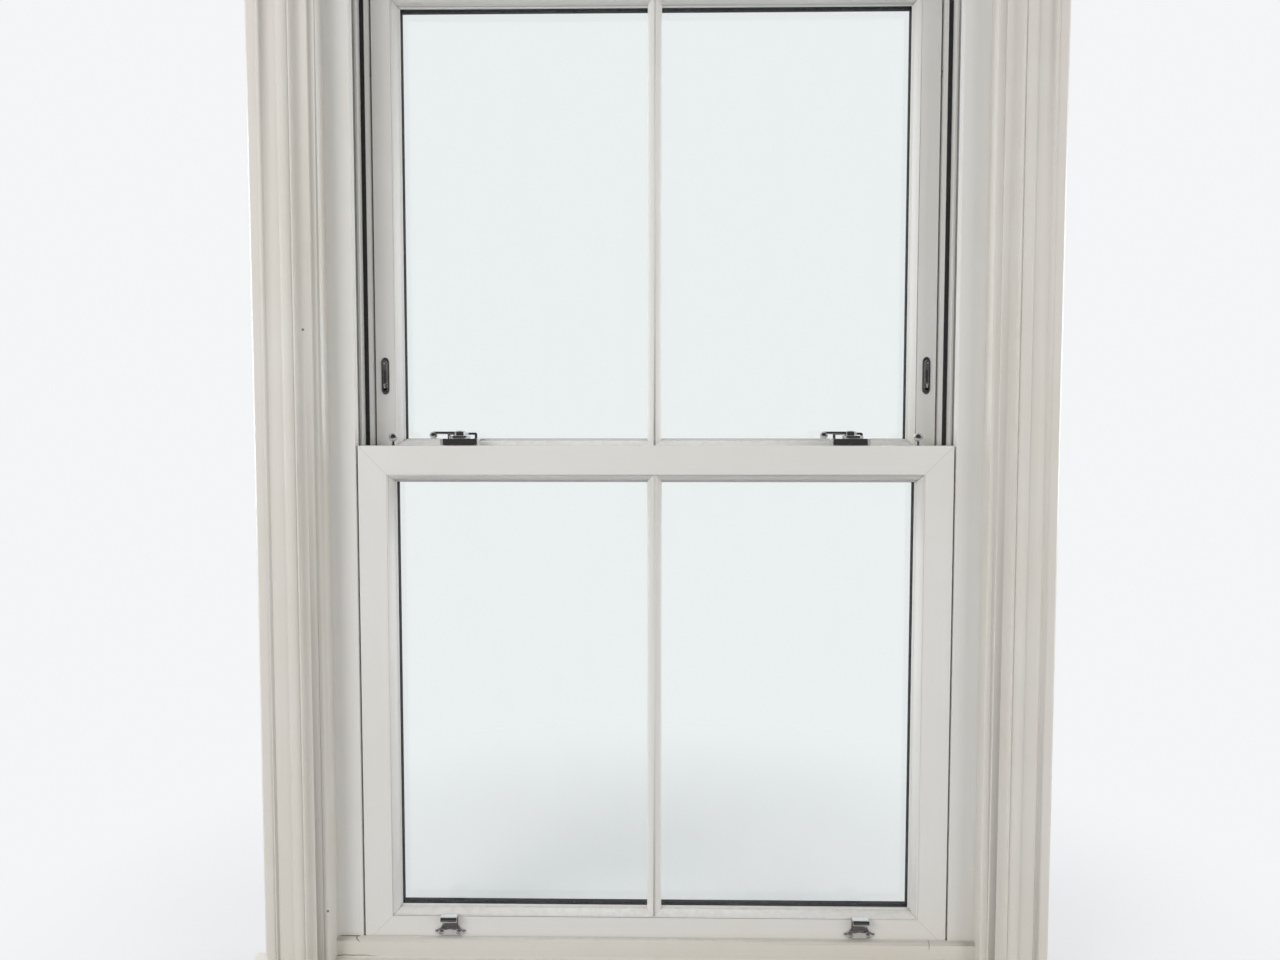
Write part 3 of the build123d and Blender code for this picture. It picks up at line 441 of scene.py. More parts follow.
@dataclass(frozen=True)
class PaintedTimber:
    """Brush-painted timber: strokes along its length, nibs, dust and a few knocks and pin holes."""

    name: str
    run: Run
    tint: Colour = (0.77, 0.755, 0.72)
    holes: tuple[Point, ...] = ()
    mitre: Point | None = None
    cracks: bool = False
    hole_radius: float = 2.2 * MM
    foot_z: float = 65.4 * MM
    foot_span: Point = (414.0 * MM, 452.0 * MM)
    joint_x: float = 418.0 * MM
    joint_rise: Point = (79.0 * MM, 84.0 * MM)
    chip_at: Point = (-452.5 * MM, 88.0 * MM)
    chip_rise: Point = (86.0 * MM, 88.5 * MM)
    crown_x: float = -468.0 * MM
    crown_reach: Point = (17.0 * MM, 13.0 * MM)
    crown_rise: Point = (90.9 * MM, 91.7 * MM)
    crown_depth: Point = (-71.0 * MM, -69.6 * MM)
    wave: Mottle = Mottle(55.0, 5.0)
    cloud: Mottle = Mottle(4.3, 4.0)
    strokes: Mottle = Mottle(260.0, 4.0, 0.6)
    nibs: Specks = Specks(240.0, (0.12, 0.03))
    knocks: Mottle = Mottle(17.0, 7.0, 0.7, (0.70, 0.76))
    dust: Mottle = Mottle(70.0, 5.0, 0.7, (0.35, 0.7))
    dust_slope: Point = (0.5, 0.95)

    def hole_mask(self, x: Signal, z: Signal) -> Signal:
        """Dark specks where pins were pulled out.

        Args:
            x: place across.
            z: place up.

        Returns:
            1 in a hole, 0 off it.
        """
        mask = None
        for hole_x, hole_z in self.holes:
            out = abs(x - hole_x).most(abs(z - hole_z))
            reach = out.rise(self.hole_radius, self.hole_radius / 2)
            mask = reach if mask is None else mask.most(reach)
        return mask

    def crack_mask(self, recipe: Recipe, place: Signal) -> Signal:
        """Fine paint crack lines on the cover strip: along its foot, down a joint, at a chipped
        end; and a painted shadow line along its top front edge at the left end, where the gap to
        the jamb is in shade.

        Args:
            recipe: the finish's nodes.
            place: the point on the piece.

        Returns:
            1 in a crack or on the painted shadow line, 0 off it.
        """
        x, y, z = recipe.parts(place)
        wave = (recipe.mottle(place, self.wave) - 0.5) * 5.0 * MM
        chip_x, chip_z = self.chip_at
        foot = abs(z - self.foot_z + wave).rise(0.9 * MM, 0.3 * MM)
        foot = foot * abs(x).rise(*self.foot_span)
        joint = abs(x - self.joint_x + wave * 0.4).rise(0.7 * MM, 0.2 * MM)
        joint = joint * z.rise(*self.joint_rise)
        chip = abs(x - chip_x + (z - chip_z) * 1.2 + wave * 0.5).rise(1.5 * MM, 0.5 * MM)
        chip = chip * z.rise(*self.chip_rise)
        # Painted shadow: a dark line along the strip's top front edge at its left end, where the
        # gap to the jamb falls in shade.
        top_shadow = z.rise(*self.crown_rise) * y.rise(*self.crown_depth)
        top_shadow = top_shadow * abs(x - self.crown_x).rise(*self.crown_reach)
        return foot.most(joint).most(chip).most(top_shadow)

    def material(self) -> Material:
        """Builds the finish.

        Returns:
            The material.
        """
        recipe = Recipe(self.name)
        place = recipe.position()
        x, _, z = recipe.parts(place)
        _, _, up = recipe.facing()
        cloud = recipe.mottle(place, self.cloud)
        strokes = recipe.mottle(recipe.stretched(place, self.run.value), self.strokes)
        nibs = recipe.specks(place, self.nibs)
        knocks = recipe.mottle(place, self.knocks)
        dust = up.rise(*self.dust_slope) * recipe.mottle(place, self.dust)
        base = recipe.mix(cloud.rise(0.3, 0.75), self.tint, shade(self.tint, 0.96, 0.945, 0.91))
        base = recipe.mix(strokes.rise(0.42, 0.85) * 0.22, base, shade(self.tint, 0.86))
        base = recipe.soiled(base, knocks, Soil.KNOCK)
        base = recipe.soiled(base, dust, Soil.TIMBER_DUST)
        height = strokes * 0.8 + nibs * 0.5 - knocks * 0.5
        if self.holes:
            pins = self.hole_mask(x, z)
            base = recipe.soiled(base, pins, Soil.PIN_HOLE)
            height = height - pins * 3.0
        if self.mitre:
            line = abs(abs(x) - self.mitre[0] - z + self.mitre[1]).rise(0.8 * MM, 0.25 * MM)
            base = recipe.soiled(base, line, Soil.MITRE_LINE)
            height = height - line * 1.5
        # Crack lines, and the painted shadow line at the strip's top left end.
        if self.cracks:
            cracks = self.crack_mask(recipe, place)
            base = recipe.soiled(base, cracks, Soil.CRACK)
            height = height - cracks * 3.0
        shine = 0.34 + cloud * 0.10 + strokes * 0.10 + dust * 0.25
        return recipe.dressed({
            "Base Color": base, "Roughness": shine, "IOR": 1.5,
            "Normal": recipe.bump(height, 0.32, 0.35 * MM),
        })


@dataclass(frozen=True)
class Chrome:
    """Bright chrome plate with finger smudges, tiny pits and hairline wear."""

    name: str = "bright_chrome"
    tint: Colour = (0.74, 0.75, 0.77)
    roughness: float = 0.06
    smudge: Mottle = Mottle(95.0, 5.0, 0.65, (0.42, 0.78))
    hair: Mottle = Mottle(1500.0, 2.0, levels=(0.62, 0.8))
    polish: Place = (0.15, 1.0, 1.0)
    pits: Specks = Specks(850.0, (0.10, 0.03))

    def material(self) -> Material:
        """Builds the finish.

        Returns:
            The material.
        """
        recipe = Recipe(self.name)
        place = recipe.position()
        smudge = recipe.mottle(place, self.smudge)
        hair = recipe.mottle(recipe.stretched(place, self.polish), self.hair)
        pits = recipe.specks(place, self.pits)
        base = recipe.mix(smudge * 0.35, self.tint, shade(self.tint, 0.84))
        base = recipe.soiled(base, pits, Soil.PIT)
        return recipe.dressed({
            "Base Color": base, "Metallic": 1.0 - pits * 0.5,
            "Roughness": self.roughness + smudge * 0.14 + hair * 0.08,
            "Normal": recipe.bump(hair * 0.5 - pits, 0.12, 0.05 * MM),
        })


@dataclass(frozen=True)
class PlainMetal:
    """Zinc-plated steel or anodised tube: cloudy sheen, drawn lines and a little white bloom."""

    name: str
    tint: Colour
    roughness: float = 0.34
    bloom: float = Soil.BLOOM.share
    spangle: Specks = Specks(160.0, (0.2, 0.8))
    lines: Mottle = Mottle(900.0, 2.0)
    blotches: Mottle = Mottle(30.0, 6.0, 0.7, (0.56, 0.74))

    def material(self) -> Material:
        """Builds the finish.

        Returns:
            The material.
        """
        recipe = Recipe(self.name)
        place = recipe.position()
        spangle = recipe.specks(place, self.spangle)
        lines = recipe.mottle(recipe.stretched(place, Run.UPRIGHT.value), self.lines)
        bloom = recipe.mottle(place, self.blotches)
        base = recipe.mix(spangle * 0.4, self.tint, shade(self.tint, 0.78))
        base = recipe.soiled(base, bloom, Soil.BLOOM, self.bloom)
        return recipe.dressed({
            "Base Color": base, "Metallic": 1.0 - bloom * self.bloom,
            "Roughness": self.roughness + lines * 0.12 + bloom * 0.25,
            "Normal": recipe.bump(lines, 0.15, 0.05 * MM),
        })


@dataclass(frozen=True)
class MouldedPlastic:
    """Injection-moulded plastic or rubber: fine grained skin, rubbed places and dust."""

    name: str
    tint: Colour
    roughness: float = 0.5
    dust_tint: Colour = (0.45, 0.45, 0.44)
    grain: float = 600.0
    sheen: float = 0.5
    cloud: Mottle = Mottle(24.0, 5.0, 0.65, (0.45, 0.75))
    dust: Mottle = Mottle(160.0, 5.0, levels=(0.4, 0.7))
    dust_slope: Point = (0.4, 0.95)

    def material(self) -> Material:
        """Builds the finish.

        Returns:
            The material.
        """
        recipe = Recipe(self.name)
        place = recipe.position()
        _, _, up = recipe.facing()
        grain = recipe.mottle(place, Mottle(self.grain))
        cloud = recipe.mottle(place, self.cloud)
        dust = up.rise(*self.dust_slope) * recipe.mottle(place, self.dust)
        worn = tuple(part * 1.5 + 0.01 for part in self.tint)
        base = recipe.mix(cloud * 0.25, self.tint, worn)
        base = recipe.mix(dust * 0.35, base, self.dust_tint)
        return recipe.dressed({
            "Base Color": base, "Roughness": self.roughness + grain * 0.15 + dust * 0.2,
            "Normal": recipe.bump(grain, 0.25, 0.08 * MM), "Specular IOR Level": self.sheen,
        })


@dataclass(frozen=True)
class BrushPile:
    """Dark siliconised pile: strands across the strip, grey lint at their tips."""

    name: str = "dark_brush_pile"
    tint: Colour = (0.028, 0.028, 0.030)
    strands: Mottle = Mottle(1300.0, 2.0)
    lint: Mottle = Mottle(130.0, 6.0, 0.7, (0.55, 0.72))

    def material(self) -> Material:
        """Builds the finish.

        Returns:
            The material.
        """
        recipe = Recipe(self.name)
        place = recipe.position()
        strands = recipe.mottle(place, self.strands)
        lint = recipe.mottle(place, self.lint)
        base = recipe.mix(strands, self.tint, shade(self.tint, 2.6))
        base = recipe.soiled(base, lint, Soil.LINT)
        return recipe.dressed({
            "Base Color": base, "Roughness": 0.8 + lint * 0.15, "Sheen Weight": 0.25,
            "Normal": recipe.bump(strands, 0.6, 0.3 * MM),
        })


@dataclass(frozen=True)
class ClearGlass:
    """Float glass with a faint green body, wiped smears and specks of dust."""

    name: str = "clear_float_glass"
    tint: Colour = (0.975, 0.99, 0.985)
    film: Colour = (0.82, 0.83, 0.82)
    haze: float = 0.016
    speck: float = 0.22
    wipe: Place = (1.0, 1.0, 0.45)
    wipes: Mottle = Mottle(7.0, 6.0, 0.62, (0.45, 0.82))
    specks: Specks = Specks(130.0, (0.07, 0.02))

    def material(self) -> Material:
        """Builds the finish.

        Returns:
            The material.
        """
        recipe = Recipe(self.name)
        place = recipe.position()
        wipes = recipe.mottle(recipe.stretched(place, self.wipe), self.wipes)
        specks = recipe.specks(place, self.specks)
        clear = recipe.surface({
            "Base Color": self.tint, "Roughness": 0.0, "IOR": 1.46, "Transmission Weight": 1.0,
        })
        film = recipe.surface({"Base Color": self.film, "Roughness": 0.8})
        share = wipes * self.haze + specks * self.speck
        return recipe.done(recipe.blend(share, clear, film))


class Finishes:
    """Every finish of the window, made once and shared."""

    def __init__(self) -> None:
        """Makes the finishes."""
        self.frame_across = WhitePlastic("white_frame_plastic_across", Run.ACROSS).material()
        self.frame_upright = WhitePlastic("white_frame_plastic_upright", Run.UPRIGHT).material()
        self.moulded_white = WhitePlastic("white_moulded_plastic", grime=0.32).material()
        self.sashes = {
            (place, run): WhitePlastic(
                f"white_{place.word}_sash_plastic_{run.name.lower()}", run, welds=place.value,
            ).material()
            for place in SashPlace for run in Run
        }
        self.timber_across = PaintedTimber("painted_timber_across", Run.ACROSS).material()
        mitre = (487.0 * MM, 1624.0 * MM)
        pin_holes = ((-510.0 * MM, 1016.0 * MM), (-492.0 * MM, 146.0 * MM))
        self.timber_head = PaintedTimber(
            "painted_architrave_head", Run.ACROSS, mitre=mitre,
        ).material()
        self.timber_upright = PaintedTimber(
            "painted_architrave_leg", Run.UPRIGHT, holes=pin_holes, mitre=mitre,
        ).material()
        # The cover strip's crack lines include a painted shadow line at its top left end.
        self.cover_strip = PaintedTimber("painted_cover_strip", Run.ACROSS, cracks=True).material()
        self.chrome = Chrome().material()
        self.screw_chrome = Chrome("screw_chrome", (0.60, 0.61, 0.63), 0.16).material()
        self.zinc = PlainMetal("zinc_plated_steel", (0.62, 0.63, 0.64)).material()
        self.tube = PlainMetal("anodised_balance_tube", (0.78, 0.78, 0.77), 0.28, 0.15).material()
        self.spacer = MouldedPlastic(
            "dark_spacer_bar", (0.016, 0.018, 0.021), 0.55, (0.06, 0.06, 0.06), sheen=0.12,
        ).material()
        self.shoe = MouldedPlastic("grey_shoe_plastic", (0.075, 0.078, 0.082)).material()
        self.rubber = MouldedPlastic(
            "black_seal_rubber", (0.014, 0.014, 0.015), 0.5, (0.10, 0.10, 0.10), 900.0, 0.25,
        ).material()
        self.pile = BrushPile().material()
        self.glass = ClearGlass().material()


# ---------------------------------------------------------------- the bench


def shift(x: float, y: float, z: float) -> Matrix:
    """Move by so much along each axis."""
    return Matrix.Translation((x, y, z))


def only(kind: type, parts: Iterable[MeshPart]) -> list[MeshPart]:
    """The points, edges or faces among mixed parts of a mesh."""
    return [part for part in parts if isinstance(part, kind)]


def oblong(low: float, high: float, half: float) -> list[Point]:
    """Corners of an oblong: from low to high along X, and half of its breadth each way along Y."""
    return [(low, -half), (high, -half), (high, half), (low, half)]


def steep(edge: BMEdge, degrees: float = 30.0) -> bool:
    """Whether an edge folds by more than so many degrees."""
    return len(edge.link_faces) == 2 and edge.calc_face_angle(0.0) > math.radians(degrees)


def runs_along(edge: BMEdge, axis: int) -> bool:
    """Whether an edge is parallel to an axis."""
    way = (edge.verts[1].co - edge.verts[0].co).normalized()
    return abs(way[axis]) > 0.999


def lies_on(edge: BMEdge, level: float) -> bool:
    """Whether an edge is no lower than a level."""
    return min(v.co.z for v in edge.verts) > level - TOUCH


class Blank:
    """A piece of material on the bench: a mesh that is cut, turned, bevelled and then fitted."""

    def __init__(self) -> None:
        """Starts with an empty bench."""
        self.mesh = bmesh.new()

    def clean(self) -> Blank:
        """Merges doubled points and turns every face outwards.

        Returns:
            The blank.
        """
        bmesh.ops.remove_doubles(self.mesh, verts=self.mesh.verts, dist=TOUCH)
        bmesh.ops.recalc_face_normals(self.mesh, faces=self.mesh.faces)
        return self

    def turned(self, profile: Sequence[Point], steps: int = 40) -> Blank:
        """Turns a line of (radius, height) points about Z.

        Args:
            profile: the line, from end to end.
            steps: facets round the piece.

        Returns:
            The blank.
        """
        points = [self.mesh.verts.new((radius, 0.0, height)) for radius, height in profile]
        edges = [self.mesh.edges.new(pair) for pair in zip(points, points[1:])]
        bmesh.ops.spin(
            self.mesh, geom=points + edges, cent=(0, 0, 0), axis=(0, 0, 1), dvec=(0, 0, 0),
            angle=math.tau, steps=steps, use_merge=True, use_duplicate=False,
        )
        return self.clean()

    def slab(self, outline: Sequence[Point], thickness: float, level: float = 0.0) -> Blank:
        """Plate with this outline in the XY plane, raised along Z from a level."""
        self.mesh.faces.new([self.mesh.verts.new((x, y, level)) for x, y in outline])
        return self.raised(thickness)

    def pierced(
        self, outline: Sequence[Point], hole: Point, radius: float, stretch: float = 0.0
    ) -> Blank:
        """Flat sheet with one round or long hole in it.

        Args:
            outline: corners of its rim.
            hole: centre of the hole.
            radius: radius of the hole.
            stretch: how far the hole's two halves are pulled apart along Y, each way.

        Returns:
            The blank.
        """
        corners = [self.mesh.verts.new((x, y, 0.0)) for x, y in outline]
        rim = [self.mesh.edges.new(pair) for pair in zip(corners, corners[1:] + corners[:1])]
        cuts = max(1, round(HOLE_FACETS / len(rim)) - 1)
        bmesh.ops.subdivide_edges(self.mesh, edges=rim, cuts=cuts)
        rim = list(self.mesh.edges)
        ring = bmesh.ops.create_circle(
            self.mesh, cap_ends=False, segments=HOLE_FACETS, radius=radius,
            matrix=shift(*hole, 0.0),
        )["verts"]
        for vertex in ring:
            vertex.co.y += math.copysign(stretch, vertex.co.y - hole[1])
        inner = list({e for v in ring for e in v.link_edges})
        bmesh.ops.bridge_loops(self.mesh, edges=rim + inner)
        return self

    def raised(self, thickness: float) -> Blank:
        """Gives a flat sheet its thickness.

        Args:
            thickness: how far it is raised.

        Returns:
            The blank.
        """
        grown = bmesh.ops.extrude_face_region(
            self.mesh, geom=list(self.mesh.faces), use_keep_orig=True,
        )["geom"]
        corners = only(BMVert, grown)
        bmesh.ops.translate(self.mesh, verts=corners, vec=(0, 0, thickness))
        return self.clean()

    def soften(self, width: float, segments: int, where: Callable[[BMEdge], bool] = steep) -> Blank:
        """Bevels the chosen edges.

        Args:
            width: offset of the bevel.
            segments: faces across it.
            where: picks the edges.

        Returns:
            The blank.
        """
        edges = [e for e in self.mesh.edges if where(e)]
        bmesh.ops.bevel(
            self.mesh, geom=edges, offset=width, offset_type="OFFSET", affect="EDGES",
            segments=segments, profile=0.5, material=-1, clamp_overlap=True,
        )
        return self

    def move(self, matrix: Matrix) -> Blank:
        """Moves the whole blank."""
        bmesh.ops.transform(self.mesh, matrix=matrix, verts=self.mesh.verts)
        return self

    def add(self, other: Blank, matrix: Matrix | None = None) -> Blank:
        """Adds a copy of another blank.

        Args:
            other: the blank that is copied.
            matrix: where its copy goes.

        Returns:
            This blank.
        """
        copy = bpy.data.meshes.new("bench_copy")
        other.mesh.to_mesh(copy)
        copy.transform(matrix or Matrix.Identity(4))
        self.mesh.from_mesh(copy)
        bpy.data.meshes.remove(copy)
        return self

    def fit(
        self, name: str, finish: Material, body: str, slot: str,
        replaced: Sequence[str] = (), crease: float = 35.0,
    ) -> Object:
        """Makes the blank an object that rides on a body of the window.

        Args:
            name: the piece's name.
            finish: its material.
            body: the body it moves with.
            slot: the record's slot for its finish; not used.
            replaced: solids that it stands for.
            crease: edges that fold by more than this stay crisp, in degrees.

        Returns:
            The new object.
        """
        bmesh.ops.recalc_face_normals(self.mesh, faces=self.mesh.faces)
        mesh = bpy.data.meshes.new(name)
        self.mesh.to_mesh(mesh)
        self.mesh.free()
        mesh.materials.append(finish)
        mesh.polygons.foreach_set("use_smooth", [True] * len(mesh.polygons))
        mesh.set_sharp_from_angle(angle=math.radians(crease))
        piece = bpy.data.objects.new(name, mesh)
        bpy.context.scene.collection.objects.link(piece)
        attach(piece, body)
        if replaced:
            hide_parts(*replaced)
        LOG.info("%s: %d faces, rides on %s", name, len(mesh.polygons), body)
        return piece


def dress(finish: Material, *nodes: str) -> None:
    """Gives solids of the window their finish.

    Args:
        finish: the material.
        nodes: names of the solids.
    """
    for node in nodes:
        for slot in frame["nodes"][node].material_slots:
            slot.material = finish
        LOG.info("%s: dressed in %s", node, finish.name)


def smooth_copy(node: str, finish: Material, slot: str, crease: float = 28.0) -> Object:
    """Replaces a curved solid by a copy with merged points, so that its curves shade smoothly.

    Args:
        node: the solid.
        finish: its material.
        slot: the record's slot for its finish.
        crease: edges that fold by more than this stay crisp, in degrees.

    Returns:
        The copy.
    """
    solid = frame["nodes"][node]
    copy = Blank()
    copy.mesh.from_mesh(solid.data)
    bmesh.ops.remove_doubles(copy.mesh, verts=copy.mesh.verts, dist=SOLID_TOUCH)
    return copy.fit(f"{node}_finished", finish, solid["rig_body"], slot, [node], crease)


# ---------------------------------------------------------------- the window's own pieces


@dataclass
class CrossScrew:
    """Countersunk screw head with a cross recess, modelled face up on the origin."""

    radius: float = 3.4 * MM
    dome: float = 0.35 * MM
    recess: float = 1.3 * MM
    recess_taper: float = 0.72
    shank: float = 1.5 * MM
    shank_taper: float = 0.55
    arm: float = 1.7 * MM
    half_width: float = 0.45 * MM

    def blank(self) -> Blank:
        """Models the head.

        Returns:
            The blank, with its rim at Z = 0.
        """
        head = Blank()
        mesh = head.mesh
        rim = bmesh.ops.create_circle(
            mesh, cap_ends=False, segments=24, radius=self.radius,
        )["verts"]
        rim_edges = list({e for v in rim for e in v.link_edges})
        a, b = self.arm, self.half_width
        cross = [
            (a, -b), (a, b), (b, b), (b, a), (-b, a), (-b, b),
            (-a, b), (-a, -b), (-b, -b), (-b, -a), (b, -a), (b, -b),
        ]
        corners = [mesh.verts.new((x, y, self.dome)) for x, y in cross]
        cross_edges = [mesh.edges.new(pair) for pair in zip(corners, corners[1:] + corners[:1])]
        bmesh.ops.bridge_loops(mesh, edges=rim_edges + cross_edges)
        for loop, taper, depth in (
            (cross_edges, self.recess_taper, self.recess),
            (rim_edges, self.shank_taper, self.shank),
        ):
            sunk = bmesh.ops.extrude_edge_only(mesh, edges=loop)["geom"]
            floor = only(BMVert, sunk)
            bmesh.ops.scale(mesh, vec=(taper, taper, 1.0), verts=floor)
            bmesh.ops.translate(mesh, verts=floor, vec=(0, 0, -depth))
            bmesh.ops.edgeloop_fill(mesh, edges=only(BMEdge, sunk))
        return head.clean()

    def fit_pair(
        self, name: str, finish: Material, body: str, middle: Matrix, reach: float
    ) -> Object:
        """Fits two screws, one each side of a middle along X, in one piece.

        Args:
            name: the piece's name.
            finish: its material.
            body: the body it moves with.
            middle: the place between them, turned as they are.
            reach: how far each is from it.

        Returns:
            The piece.
        """
        screws = Blank()
        for way in (-reach, reach):
            screws.add(self.blank(), middle @ shift(way, 0, 0))
        return screws.fit(name, finish, body, "chrome")


FACE_INDOORS = Matrix.Rotation(math.radians(90.0), 4, "X")


@dataclass
class HandedFitting:
    """A fitting that the window has twice, once on each side."""

    side: Side
    finishes: Finishes

    def named(self, stem: str) -> str:
        """A piece's stem with the side's word."""
        return f"{stem}_{self.side.word}"

    def at(self, out: float, y: float, z: float) -> Matrix:
        """Move to a place that is so far out from the middle of the window, on this side."""
        return shift(self.side.value * out, y, z)


@dataclass
class CamCatch(HandedFitting):
    """Cam catch on the lower sash's top rail: base with its pivot, and cam, boss, arm and ball."""

    pivot_x: float = 298.0 * MM
    pivot_y: float = -33.5 * MM
    rail_top: float = 847.0 * MM
    base_length: float = 61.0 * MM
    base_width: float = 24.0 * MM
    base_height: float = 10.5 * MM
    cam_radius: float = 16.0 * MM
    cam_offset: float = 9.0 * MM
    cam_angle: float = -80.0
    cam_low: float = 10.7 * MM
    cam_thickness: float = 4.5 * MM
    boss_radius: float = 9.0 * MM
    lever_top: float = 21.5 * MM
    arm_thickness: float = 4.4 * MM
    arm_length: float = 40.5 * MM
    ball_radius: float = 5.9 * MM
    pin_radius: float = 3.5 * MM
    screw_reach: float = 22.5 * MM
    screw_sink: float = 0.1 * MM
    arris: float = 2.2 * MM
    cam_arris: float = 0.9 * MM
    arm_root: float = 4.5 * MM
    arm_taper: float = 0.62

    @property
    def spot(self) -> Matrix:
        """Where the pivot meets the rail."""
        return self.at(self.pivot_x, self.pivot_y, self.rail_top)

    def build_base(self) -> Object:
        """Base with rounded ends and arris, and the riveted pin through the cam.

        Returns:
            The piece.
        """
        half, wide, top = self.base_length / 2, self.base_width / 2, self.base_height
        base = Blank().slab(oblong(-half, half, wide), top)
        base.soften(wide * 0.999, 14, lambda e: runs_along(e, 2))
        base.clean()
        base.soften(self.arris, 5, lambda e: steep(e, 50) and lies_on(e, top))
        pin, foot, cap = self.pin_radius, top - 1 * MM, self.lever_top + 0.2 * MM
        rivet = Blank().turned([
            (0.0, foot), (pin, foot), (pin, cap), (pin + 2.4 * MM, cap),
            (pin + 2.5 * MM, cap + 0.4 * MM), (pin + 1.6 * MM, cap + 1.0 * MM),
            (0.0, cap + 1.2 * MM),
        ])
        base.add(rivet)
        base.move(self.spot)
        solid = self.named("catch_base")
        return base.fit(f"{solid}_body", self.finishes.chrome, "lower_sash", "chrome", [solid])

    def build_screws(self) -> Object:
        """The two screws that hold the base."""
        return CrossScrew().fit_pair(
            self.named("catch_screws"), self.finishes.screw_chrome, "lower_sash",
            self.spot @ shift(0, 0, self.base_height - self.screw_sink), self.screw_reach,
        )

    def cam(self) -> Blank:
        """Models the cam disc with its softened rims.

        Returns:
            The blank.
        """
        low, radius, soft = self.cam_low, self.cam_radius, self.cam_arris
        high, inset, step = low + self.cam_thickness, radius - 0.25 * soft, 0.3 * soft
        return Blank().turned([
            (0.0, low), (radius - soft, low), (inset, low + step), (radius, low + soft),
            (radius, high - soft), (inset, high - step), (radius - soft, high), (0.0, high),
        ], 56)

    def boss(self) -> Blank:
        """Models the boss that stands on the cam, with its foot flared and its bore open.

        Returns:
            The blank.
        """
        bore, radius, top = self.pin_radius + 0.06 * MM, self.boss_radius, self.lever_top
        cam_top = self.cam_low + self.cam_thickness
        foot = cam_top - 0.5 * MM
        return Blank().turned([
            (bore, foot), (radius + 1.4 * MM, foot), (radius + 0.4 * MM, cam_top + 1.2 * MM),
            (radius, cam_top + 2.4 * MM), (radius, top - 1.0 * MM),
            (radius - 0.3 * MM, top - 0.3 * MM), (radius - 1.0 * MM, top), (bore, top),
            (bore, foot),
        ], 48)

    def arm(self) -> Blank:
        """Models the tapered arm."""
        root, tip, reach = self.arm_root, self.arm_root * self.arm_taper, self.arm_length
        return Blank().slab(
            [(-root, root), (-root, -root), (-reach, -tip), (-reach, tip)],
            self.arm_thickness, self.lever_top - self.arm_thickness,
        ).soften(
            1.2 * MM, 4,
            lambda e: steep(e) and runs_along(e, 0) or steep(e, 60) and not runs_along(e, 2),
        )

    def build_lever(self) -> Object:
        """Cam disc, boss, tapered arm and ball knob, on the pivot.

        Returns:
            The piece.
        """
        angle, ball = math.radians(self.cam_angle), self.ball_radius
        eccentric = shift(self.cam_offset * math.cos(angle), self.cam_offset * math.sin(angle), 0)
        lever = Blank().add(self.cam(), eccentric).add(self.boss()).add(self.arm())
        arcs = [math.pi * i / 18 for i in range(19)]
        knob = Blank().turned([(ball * math.sin(a), -ball * math.cos(a)) for a in arcs], 36)
        lever.add(knob, shift(-self.arm_length, 0, self.lever_top - ball))
        lever.move(self.spot)
        solid = self.named("catch_lever")
        return lever.fit(
            f"{solid}_body", self.finishes.chrome, self.named("catch"), "chrome", [solid],
        )

    def build(self) -> None:
        """Builds and fits the whole catch."""
        self.build_base()
        self.build_screws()
        self.build_lever()


@dataclass
class TiltLatch(HandedFitting):
    """Sliding tilt latch of the lower sash: bolt in the rail, and a ball knob out of its slot."""

    knob_x: float = 398.0 * MM
    centre_y: float = -43.0 * MM
    knob_top: float = 866.5 * MM
    ball_radius: float = 6.8 * MM
    stalk_radius: float = 2.4 * MM
    bolt_width: float = 16.0 * MM
    bolt_height: float = 10.0 * MM
    nose_slope: float = 7.2 * MM
    collar: tuple[Point, ...] = (
        (0.0, 18.6 * MM), (1.6 * MM, 18.4 * MM), (1.4 * MM, 17.6 * MM), (0.3 * MM, 16.2 * MM),
        (0.0, 14.6 * MM),
    )

    def build(self) -> Object:
        """Models the bolt and its knob.

        Returns:
            The piece.
        """
        solid = self.named("lower_latch_bolt")
        low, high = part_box(solid)
        ball, stalk, top = self.ball_radius, self.stalk_radius, self.knob_top
        bolt = Blank().slab(oblong(low.x, high.x, self.bolt_width / 2), self.bolt_height, low.z)
        nose_x = low.x if self.side is Side.LEFT else high.x

        def at_nose(edge: BMEdge) -> bool:
            """Whether an edge is the upright one at the indoor side of the bolt's nose."""
            corner = edge.verts[0].co
            return runs_along(edge, 2) and abs(corner.x - nose_x) < TOUCH and corner.y < 0

        bolt.soften(self.nose_slope, 1, at_nose)
        bolt.soften(0.5 * MM, 2, lambda e: steep(e, 40))
        foot, span = low.z + self.bolt_height - 1 * MM, math.pi - math.asin(stalk / ball)
        arcs = [span - span * i / 20 for i in range(21)]
        knob = Blank().turned([
            (0.0, foot), (stalk, foot),
            *[(stalk + out, top - down) for out, down in self.collar],
            *[(ball * math.sin(a), top - ball + ball * math.cos(a)) for a in arcs],
        ], 36)
        bolt.add(knob, self.at(self.knob_x, 0, 0)).move(shift(0, self.centre_y, 0))
        return bolt.fit(
            self.named("tilt_latch"), self.finishes.chrome, self.named("lower_bolt"), "chrome",
            [solid],
        )


